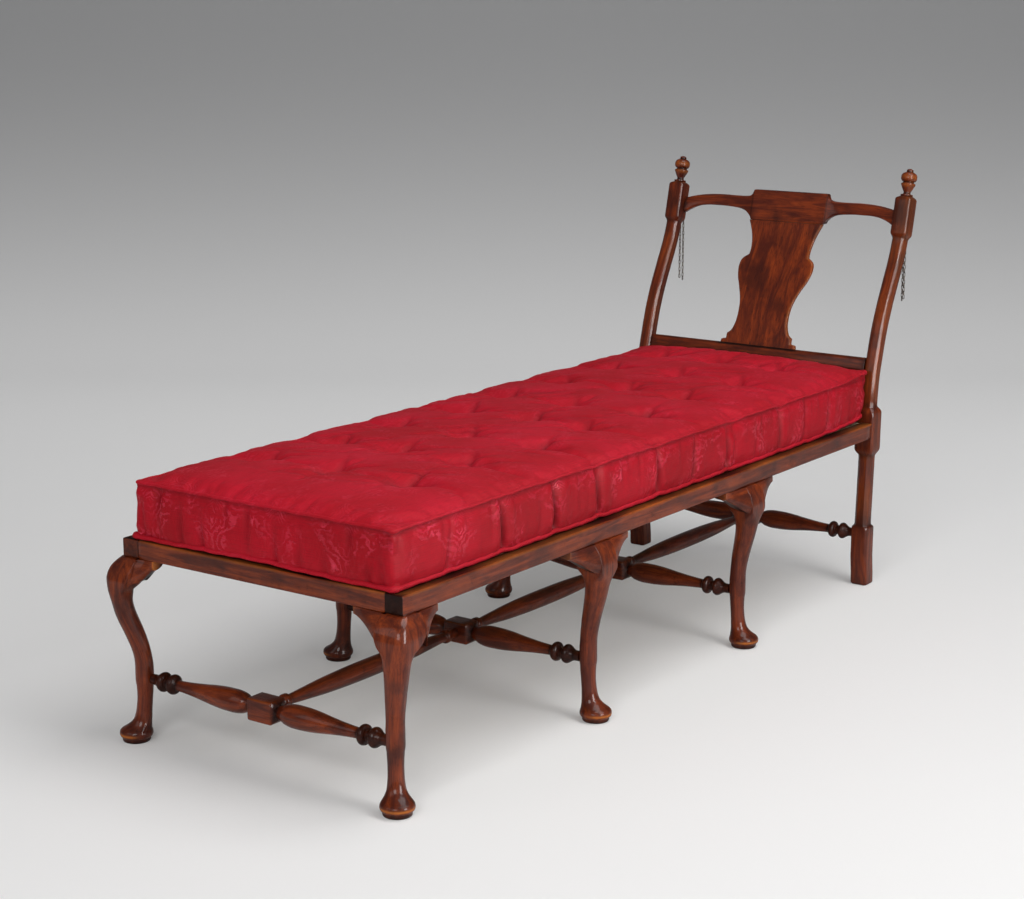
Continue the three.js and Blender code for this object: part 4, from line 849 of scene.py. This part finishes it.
post_eye_x = block_rear(POST_EYE_Z + LINK_WIDTH / 2) + LINK_WIDTH / 2 + EYE_CLEAR
back_eye_x = block_rear(BACK_EYE_Z + LINK_WIDTH / 2) + LINK_WIDTH / 2 + EYE_CLEAR
hook_y = POST_Y - HOOK_IN
crest_rear = post_x(BACK_EYE_Z) + 1 + bow(hook_y) + CREST_THICK


def strand(name, node, x, y, z, count):
    """Links that hang in each other, every other one turned a quarter."""
    r = (LINK_WIDTH - WIRE) / 2
    straight = PITCH / 2 - r + WIRE / 2
    oval = []
    for end in (1, -1):
        turn = [math.pi * k / 8 + (0 if end > 0 else math.pi) for k in range(9)]
        oval += [(x + r * math.cos(a), y, end * straight + r * math.sin(a)) for a in turn]
    bm = skin(wire_rings(oval, WIRE / 2, 8, closed=True), ring_closed=True)
    one = bm.verts[:] + bm.edges[:] + bm.faces[:]
    top = z + LINK_WIDTH / 2 - WIRE - PITCH / 2
    for i in range(1, count):
        made = points_in(bmesh.ops.duplicate(bm, geom=one)["geom"])
        if i % 2:
            quarter = Matrix.Rotation(math.pi / 2, 3, "Z")
            bmesh.ops.rotate(bm, verts=made, cent=metres((x, y, 0)), matrix=quarter)
        bmesh.ops.translate(bm, verts=made, vec=(0, 0, (top - i * (PITCH + LINK_PLAY)) * MM))
    bmesh.ops.translate(bm, verts=points_in(one), vec=(0, 0, top * MM))
    finish_piece(name, bm, node, [node], IRON, sharp=0)


for side, sign in SIDES:
    strand(f"chain_links_on_post_{side}", f"chain_on_post_{side}",
           post_eye_x, sign * POST_Y, POST_EYE_Z, POST_LINKS)
    strand(f"chain_links_on_back_{side}", f"chain_on_back_{side}",
           back_eye_x, sign * (POST_Y - STRAND_STEP), BACK_EYE_Z, BACK_LINKS)
    inside = block_rear(POST_EYE_Z) - 8
    y0 = sign * POST_Y
    path = bent([(inside, y0 - 3, POST_EYE_Z), (post_eye_x, y0 - 3, POST_EYE_Z),
                 (post_eye_x, y0 + 3, POST_EYE_Z), (inside, y0 + 3, POST_EYE_Z)], 1.6)
    finish_piece(f"post_staple_iron_{side}", skin(wire_rings(path, IRON_R, 12)), "frame",
                 [f"post_staple_{side}"], IRON, sharp=50)
    end_y = sign * (POST_Y - STRAND_STEP + HOOK_REACH - IRON_R / 2)
    path = bent([(crest_rear - 8, sign * hook_y, BACK_EYE_Z), (back_eye_x, sign * hook_y, BACK_EYE_Z),
                 (back_eye_x, end_y, BACK_EYE_Z), (back_eye_x, end_y, BACK_EYE_Z + 7)], 2.4)
    finish_piece(f"crest_hook_iron_{side}", skin(wire_rings(path, IRON_R, 12)), "back",
                 [f"crest_hook_{side}"], IRON, sharp=50)


# The cushion's ends, half width and two seams, and how far it crowns, swells and leans back.
FOOT_END, HEAD_END, HALF = 5.0, 1679.0, 299.0
LOW, SEAM, CROWN, SWELL, LEAN_BACK = 378.9, 483.0, 19.0, 8.0, 11.0
TUFTS = [
    (225, -150), (222, 14), (226, 178), (408, -138), (413, 20), (409, 160), (606, -160), (601, 4),
    (604, 176), (795, -134), (800, -6), (797, 154), (978, -158), (972, 12), (976, 178), (1160, -136),
    (1166, 8), (1162, 162), (1356, -156), (1360, -4), (1354, 168), (1550, -142), (1546, 10), (1549, 156),
]
# Places along the near side and how deep the cloth is drawn in there.
STITCHES = [
    (150, 5), (302, 12), (463, 13), (602, 10), (812, 9), (942, 6), (1072, 10), (1290, 9), (1398, 5),
    (1505, 8),
]
PUCKERS = [598, 812, 1105, 1290]
LONG_CELLS, CROSS_CELLS, SIDE_CUTS = 210, 74, 12
ROUND, FACE, DEEPEST = 14, 26, 12
BOXING_ROW = 4.06
CLOTH_FRAMES, HEAD_LIMIT = 20, 1694


def cushion_point(u, v, level):
    """u along, v across and level up the side, each from 0 to 1. A level above 1 is the crown."""
    side = min(level, 1.0)
    mid, reach = (FOOT_END + HEAD_END) / 2, (HEAD_END - FOOT_END) / 2
    # The sides pull in between the seams and beside each welt, less at the corners.
    ear = near(abs(2 * u - 1) * reach, reach, 26) * near(abs(2 * v - 1) * HALF, HALF, 26)
    pull = 5 * math.sin(math.pi * side) + 3.5 * near(side, 0.11, 0.05) + 3 * near(side, 0.92, 0.05)
    pull -= ear * (2 + 4 * math.sin(math.pi * side))
    swell = SWELL * side * u**6 * (1 - (2 * v - 1) ** 2)
    p, q = (2 * u - 1) * (reach - pull), (2 * v - 1) * (HALF - pull)
    # The corners are rounded in plan.
    over_x, over_y = ROUND - (reach - pull - abs(p)), ROUND - (HALF - pull - abs(q))
    if over_x > 0 and over_y > 0:
        share = max(over_x, over_y) / math.hypot(over_x, over_y)
        p = math.copysign(reach - pull - ROUND + over_x * share, p)
        q = math.copysign(HALF - pull - ROUND + over_y * share, q)
    x, y = mid + p + swell + u**12 * (LEAN_BACK * smooth(1.6 * side) - 3 * (1 - side)), q - 9 * v * side
    z = LOW + side * (SEAM - LOW + 6 * smooth((x - 1560) / 110))
    # The seams pucker and the stitches gather along the long sides.
    edge = smooth((abs(2 * v - 1) - 0.9) / 0.1)
    puckered = sum(near(x, at, 22) for at in PUCKERS) * near(side, 1, 0.35) * (y < 0)
    gathered = sum(deep / 12 * near(x, at + 60 * (y > 0), 10) for at, deep in STITCHES) * near(side, 0, 0.2)
    y -= math.copysign(edge * 3 * (puckered + gathered), y)
    z += 2.4 * gathered * edge - 4 * puckered * edge
    if level > 1:
        full = (1 - abs(2 * u - 1) ** (14 if u < 0.5 else 28)) * (1 - (2 * v - 1) ** 4)
        dip = sum(math.exp(-2 * ((x - a) ** 2 + (y - b) ** 2) / 46**2) for a, b in TUFTS)
        z += full * (CROWN - 6 * near(x, 820, 430) - 9 * dip)
        z -= 3 * sum(near(x, at, 26) * near(y, -HALF, 40) for at in PUCKERS)
    # The bottom seam lifts off the rail in places.
    lift = 4 * near(x, FOOT_END, 60) * near(y, 20, 130)
    lift += 5 * smooth((x - 1440) / 200) * smooth((-y - 150) / 120)
    lift += 8 * near(x, HEAD_END, 36) * near(y, -HALF, 36)
    return x, y, z + lift * (1 - side) + 3 * side * near(x, HEAD_END, 30) * near(y, -HALF, 30)


def hump(values, centre, width):
    return np.exp(-(((values - centre) / width) ** 2))


def fold(x, y, place, heading, length, width, curve):
    """How deep in a short curved fold each point lies, from 0 to 1."""
    run = (x - place[0]) * math.cos(heading) + (y - place[1]) * math.sin(heading)
    off = (y - place[1]) * math.cos(heading) - (x - place[0]) * math.sin(heading) + curve * run * run
    return np.exp(-((run / length) ** 2) - (off / width) ** 2)


def folded(mesh):
    """Pinches at the tufts, puckers along the seams and creases up the sides."""
    hand = np.random.default_rng(11)
    points = np.empty(len(mesh.vertices) * 3, np.float32)
    mesh.vertices.foreach_get("co", points)
    points = points.reshape(-1, 3).astype(float) / MM - np.array([FOOT_X, 0, 0])
    x, y, z = points.T
    top = np.clip((z - (SEAM + 1)) / 5, 0, 1)
    down = np.zeros(len(x))
    for a, b in TUFTS:
        turn = hand.uniform(-0.25, 0.25)
        down += 9.0 * fold(x, y, (a, b), -0.93 + turn, hand.uniform(40, 74), 7.0, 0.0015)
        down += 6.0 * fold(x, y, (a + 16, b), 0.25 + turn, hand.uniform(36, 66), 7.0, -0.002)
        down += 5.0 * fold(x, y, (a - 30, b + 26), -0.75 - turn, hand.uniform(34, 60), 7.0, 0.003)
        for _ in range(3):
            place = a + hand.uniform(-90, 90), b + hand.uniform(-70, 70)
            down += hand.uniform(1.6, 4.2) * fold(
                x, y, place, hand.uniform(-1.25, -0.4), hand.uniform(36, 84), hand.uniform(6, 9),
                hand.uniform(-0.003, 0.003))
    points[:, 2] -= top * np.clip(down, 0, DEEPEST)
    shadow = top * np.clip(down / 11, 0, 1)
    level = np.clip((z - LOW) / (SEAM - LOW), 0, 1)
    flank = (1 - top) * np.clip(np.sin(np.pi * np.clip(level * 0.96 + 0.02, 0, 1)) * 1.6, 0, 1)
    for sign in (-1, 1):
        face = flank * np.clip((sign * y - (HALF - FACE)) / 14, 0, 1)
        inward = np.zeros(len(x))
        for at, deep in STITCHES:
            at = at if sign < 0 else at + 60
            slant, middle = hand.uniform(-16, 16), hand.uniform(0.25, 0.75)
            inward += deep * hump(level, middle, 0.55) * hump(x - at, slant * (level - 0.5), 5.5)
            inward -= 0.3 * deep * hump(x - at, 24, 14)
            inward -= 0.2 * deep * hump(x - at, -22, 12)
        for at in np.arange(30, 1670, 34):
            at += hand.uniform(-14, 14)
            end = hand.integers(0, 2)
            crease = hand.uniform(0.8, 3.8) * hump(x, at, hand.uniform(4, 8))
            inward += crease * hump(level, end, hand.uniform(0.3, 0.7))
        points[:, 1] -= sign * face * inward
        shadow += face * np.clip(inward / 11, 0, 1)
    face = flank * np.clip((FOOT_END + FACE - x) / 14, 0, 1)
    for at in (-286, -272, -240, -205, -150, -96, -40, 22, 70, 130, 180, 232, 270):
        end = hand.integers(0, 2)
        crease = hand.uniform(3.0, 7.5) * hump(y, at, hand.uniform(4, 9))
        crease *= hump(level, end, hand.uniform(0.3, 0.8))
        points[:, 0] += face * crease
        shadow += face * crease / 10
    shadow += (1 - top) * (hump(level, 0.95, 0.03) * 0.7 + hump(level, 0.07, 0.035) * 0.6)
    # The fold attribute holds painted shade of the folds and of lines beside the welts.
    layer = mesh.attributes.new("fold", "FLOAT", "POINT")
    layer.data.foreach_set("value", np.clip(shadow, 0, 1).astype(np.float32))
    points = (points + np.array([FOOT_X, 0, 0])) * MM
    mesh.vertices.foreach_set("co", points.astype(np.float32).ravel())


def blown_up(obj, stitches, most):
    """Blows the cover up as cloth held by its stitches. most gives how far a point may go."""
    group = obj.vertex_groups.new(name="stitches")
    for index, hold in stitches.items():
        group.add([index], hold, "REPLACE")
    cloth = obj.modifiers.new("cloth", "CLOTH")
    settings = cloth.settings
    settings.quality, settings.mass = 5, 0.3
    settings.tension_stiffness = settings.compression_stiffness = 12
    settings.shear_stiffness, settings.bending_stiffness = 4, 0.3
    settings.use_pressure, settings.uniform_pressure_force = True, 4
    settings.effector_weights.gravity = 0
    settings.shrink_min = -0.035
    settings.vertex_group_mass = group.name
    cloth.point_cache.frame_start, cloth.point_cache.frame_end = 1, CLOTH_FRAMES
    for number in range(1, CLOTH_FRAMES + 1):
        bpy.context.scene.frame_set(number)
    blown = obj.evaluated_get(bpy.context.evaluated_depsgraph_get()).to_mesh()
    ends = [v.co.copy() for v in blown.vertices]
    obj.modifiers.remove(cloth)
    bpy.context.scene.frame_set(1)
    for v, end in zip(obj.data.vertices, ends):
        move = end - v.co
        v.co += move * min(1.0, most(v.co) / max(move.length, 1e-9))


def room(p):
    """How far the cloth may swell at a point, in metres."""
    if p.z > (SEAM - 1) * MM:
        return 0.009
    if p.x > metres((HEAD_END - 8, 0, 0)).x:
        return 0.004
    return (2 + 7 * math.sin(math.pi * min(max((p.z / MM - LOW) / (SEAM - LOW), 0), 1))) * MM


def welt(name, line, radius, drop, wave):
    """A rolled welt along a seam, with slight waves and a small knot at each corner."""
    line = [Vector(p) for p in line]
    for _ in range(2):
        line = [(line[i - 1] + p * 2 + line[(i + 1) % len(line)]) / 4 for i, p in enumerate(line)]
    waves = [wave * math.sin(i * 0.83) * math.sin(i * 0.37 + 1) for i in range(len(line))]
    line = [p + Vector((0, 0, rise)) for p, rise in zip(line, waves)]
    mid, reach = (FOOT_END + HEAD_END) / 2, (HEAD_END - FOOT_END) / 2 - 5
    rings = []
    for p, ring in zip(line, wire_rings(line, radius, 10, closed=True)):
        knot = 1 + 0.7 * near(abs(p.x - mid), reach, 7) * near(abs(p.y), HALF - 5, 7) * (drop or p.x < mid)
        knot += 1.0 * near(p.x, HEAD_END + 5, 9) * near(p.y, 5 - HALF, 9) * drop
        ring = [p + (q - p) * knot for q in ring]
        rings.append([(q.x, q.y, max(q.z, LOW - 0.2)) for q in ring])
    bm = skin(rings, ring_closed=True)
    layer = bm.loops.layers.uv.new("cloth")
    for face in bm.faces:
        for loop in face.loops:
            x, y, z = loop.vert.co
            loop[layer].uv = (x + y * 0.3, y + z + drop)
    finish_piece(name, bm, "frame", ["seat_cushion"], SILK, sharp=0)


def cushion_cover():
    bm = bmesh.new()
    bmesh.ops.create_grid(bm, x_segments=LONG_CELLS, y_segments=CROSS_CELLS, size=0.5)
    twin = bmesh.ops.duplicate(bm, geom=bm.verts[:] + bm.edges[:] + bm.faces[:])["geom"]
    bmesh.ops.translate(bm, verts=points_in(twin), vec=(0, 0, -1))
    bmesh.ops.bridge_loops(bm, edges=[e for e in bm.edges if e.is_boundary])
    upright = [e for e in bm.edges if abs(e.verts[0].co.z - e.verts[1].co.z) > 0.5]
    bmesh.ops.subdivide_edges(bm, edges=upright, cuts=SIDE_CUTS, use_grid_fill=True)
    bmesh.ops.recalc_face_normals(bm, faces=bm.faces)
    layer = bm.loops.layers.uv.new("cloth")
    bm.verts.index_update()
    stitches, rims = {}, {0: [], 1: []}
    for v in bm.verts:
        a, b, level = v.co.x + 0.5, v.co.y + 0.5, v.co.z + 1
        rim = min(a, b, 1 - a, 1 - b) < 1e-4
        lid = level > 0.999 and not rim
        place = cushion_point(a, b, 2 if lid else level)
        v.co = metres(place)
        if level < 0.001:
            stitches[v.index] = 1.0
        elif rim and level > 0.999:
            stitches[v.index] = 0.93
        elif lid and any(math.hypot(place[0] - p, place[1] - q) < 8 for p, q in TUFTS):
            stitches[v.index] = 1.0
        if rim and (level < 0.001 or level > 0.999):
            turn = math.atan2((b - 0.5) * HALF * 2, (a - 0.5) * (HEAD_END - FOOT_END))
            rims[round(level)].append((turn, v.index))
    for face in bm.faces:
        flat = abs(face.normal.z) > 0.7
        along_x = abs(face.normal.y) > abs(face.normal.x)
        for loop in face.loops:
            x, y, z = loop.vert.co
            loop[layer].uv = (x, y) if flat else (x if along_x else y + 5, z + BOXING_ROW)
    cover = finish_piece("seat_cushion_cover", bm, "frame", ["seat_cushion"],
                         SILK, sharp=0)
    blown_up(cover, stitches, room)
    finer = cover.modifiers.new("finer", "SUBSURF")
    finer.levels = finer.render_levels = 1
    made = cover.evaluated_get(bpy.context.evaluated_depsgraph_get())
    cover.data = bpy.data.meshes.new_from_object(made)
    cover.modifiers.remove(finer)
    folded(cover.data)
    stop = metres((HEAD_LIMIT, 0, 0)).x
    for v in cover.data.vertices:
        v.co.x = min(v.co.x, stop)
        v.co.z = max(v.co.z, (LOW - 0.2) * MM)
    origin = Vector((FOOT_X, 0, 0))
    for level, name, radius, rise, wave in ((1, "top", 3.0, 0.8, 0.7), (0, "bottom", 4.6, 3.2, 0.9)):
        line = [cover.data.vertices[i].co / MM - origin for _, i in sorted(rims[level])]
        welt(f"seat_cushion_{name}_welt", [(p.x, p.y, p.z + rise) for p in line], radius, level, wave)


cushion_cover()


# The photo's own camera: its eye, where it looks in radians and its lens.
EYE = metres((-2585.9, -2402.5, 1360.1))
YAW, TIP = 0.6247, -0.21896
LENS, SENSOR = 75.04, 36
ahead = Vector((math.cos(TIP) * math.cos(YAW), math.cos(TIP) * math.sin(YAW), math.sin(TIP)))
right = Vector((math.sin(YAW), -math.cos(YAW), 0))
up = right.cross(ahead)
camera = placed("camera", bpy.data.cameras.new("camera"))
camera.data.sensor_fit = "HORIZONTAL"
camera.data.sensor_width = SENSOR
camera.data.lens = LENS
camera.matrix_world = Matrix((
    (right.x, up.x, -ahead.x, EYE.x), (right.y, up.y, -ahead.y, EYE.y),
    (right.z, up.z, -ahead.z, EYE.z), (0, 0, 0, 1),
))
bpy.context.scene.camera = camera


def softbox(name, place, target, width, height, power):
    data = bpy.data.lights.new(name, "AREA")
    data.shape = "RECTANGLE"
    data.size, data.size_y, data.energy = width, height, power
    obj = placed(name, data)
    obj.location = place
    obj.rotation_euler = (Vector(target) - Vector(place)).to_track_quat("-Z", "Y").to_euler()
    return obj


softbox("key", (-0.2, -3.4, 2.9), (0, 0, 0.3), 1.2, 1.2, 30)
softbox("tall", (-0.75, -3.1, 1.3), (0.5, 0, 0.6), 1.1, 2.0, 24)
shine = softbox("shine", (-0.75, -3.12, 1.3), (0.5, 0, 0.6), 1.1, 2.0, 70)
shine.visible_diffuse = False
softbox("front", (-4.2, -1.5, 2.4), (0, 0, 0.3), 2.0, 2.0, 76)
softbox("left", (-3.6, 1.2, 2.2), (0, 0, 0.4), 2.0, 2.0, 12)
softbox("top", (0.2, -1.3, 3.6), (0, 0, 0.2), 2.2, 2.2, 60)


def paper_sweep():
    """A flat floor that curves up into a backdrop far behind the piece."""
    back = Vector((math.cos(YAW), math.sin(YAW), 0))
    across = Vector((-back.y, back.x, 0))
    flat, bend, wall, half_width = 3, 1.6, 6, 9
    profile = [(-6, 0), (0, 0), (flat, 0)]
    for a in np.linspace(0, math.pi / 2, 17)[1:]:
        profile.append((flat + bend * math.sin(a), bend - bend * math.cos(a)))
    profile.append((flat + bend, wall))
    bm = bmesh.new()
    sunk = 0.0005
    edge = [back * d - across * half_width + Vector((0, 0, z - sunk)) for d, z in profile]
    edges = strung(bm, edge)[1]
    moved = bmesh.ops.extrude_edge_only(bm, edges=edges)["geom"]
    bmesh.ops.translate(bm, verts=points_in(moved), vec=across * 2 * half_width)
    bmesh.ops.recalc_face_normals(bm, faces=bm.faces)
    if sum(f.normal.z for f in bm.faces) < 0:
        bmesh.ops.reverse_faces(bm, faces=bm.faces)
    mesh = bpy.data.meshes.new("paper_sweep")
    bm.to_mesh(mesh)
    bm.free()
    mesh.shade_smooth()
    s = Shader("pale_paper")
    place = s.place()
    uphill = back + Vector((0, 0, 1))
    away = s.node("ShaderNodeVectorMath", {"operation": "DOT_PRODUCT"}, {0: place, 1: uphill}, 1)
    # Painted shade: the paper darkens as it goes back and up.
    base = s.mix(away.step(2.5, 6.1), colour(222, 221, 220), colour(152, 152, 153))
    s.set(Base_Color=base, Roughness=0.9, Specular_IOR_Level=0.1)
    # Painted light: seen from the camera only, the paper glows, most in a band behind the piece.
    seen = s.node("ShaderNodeLightPath", {}, {}, "Is Camera Ray")
    painted_glow = away.step(-0.6, 2.6) * 0.13 - away.step(2.8, 5.8) * 0.175 + 0.13
    grey = s.node("ShaderNodeCombineXYZ", {}, {0: painted_glow, 1: painted_glow, 2: painted_glow})
    s.set(Emission_Color=s.mix(seen, (0.0, 0.0, 0.0), grey), Emission_Strength=1.0)
    mesh.materials.append(s.material)
    placed("paper_sweep", mesh)


paper_sweep()
world = bpy.data.worlds.new("studio")
world.use_nodes = True
world.node_tree.nodes["Background"].inputs[0].default_value = (0.9, 0.92, 0.95, 1)
world.node_tree.nodes["Background"].inputs[1].default_value = 0.16
bpy.context.scene.world = world
bpy.context.scene.view_settings.view_transform = "Standard"
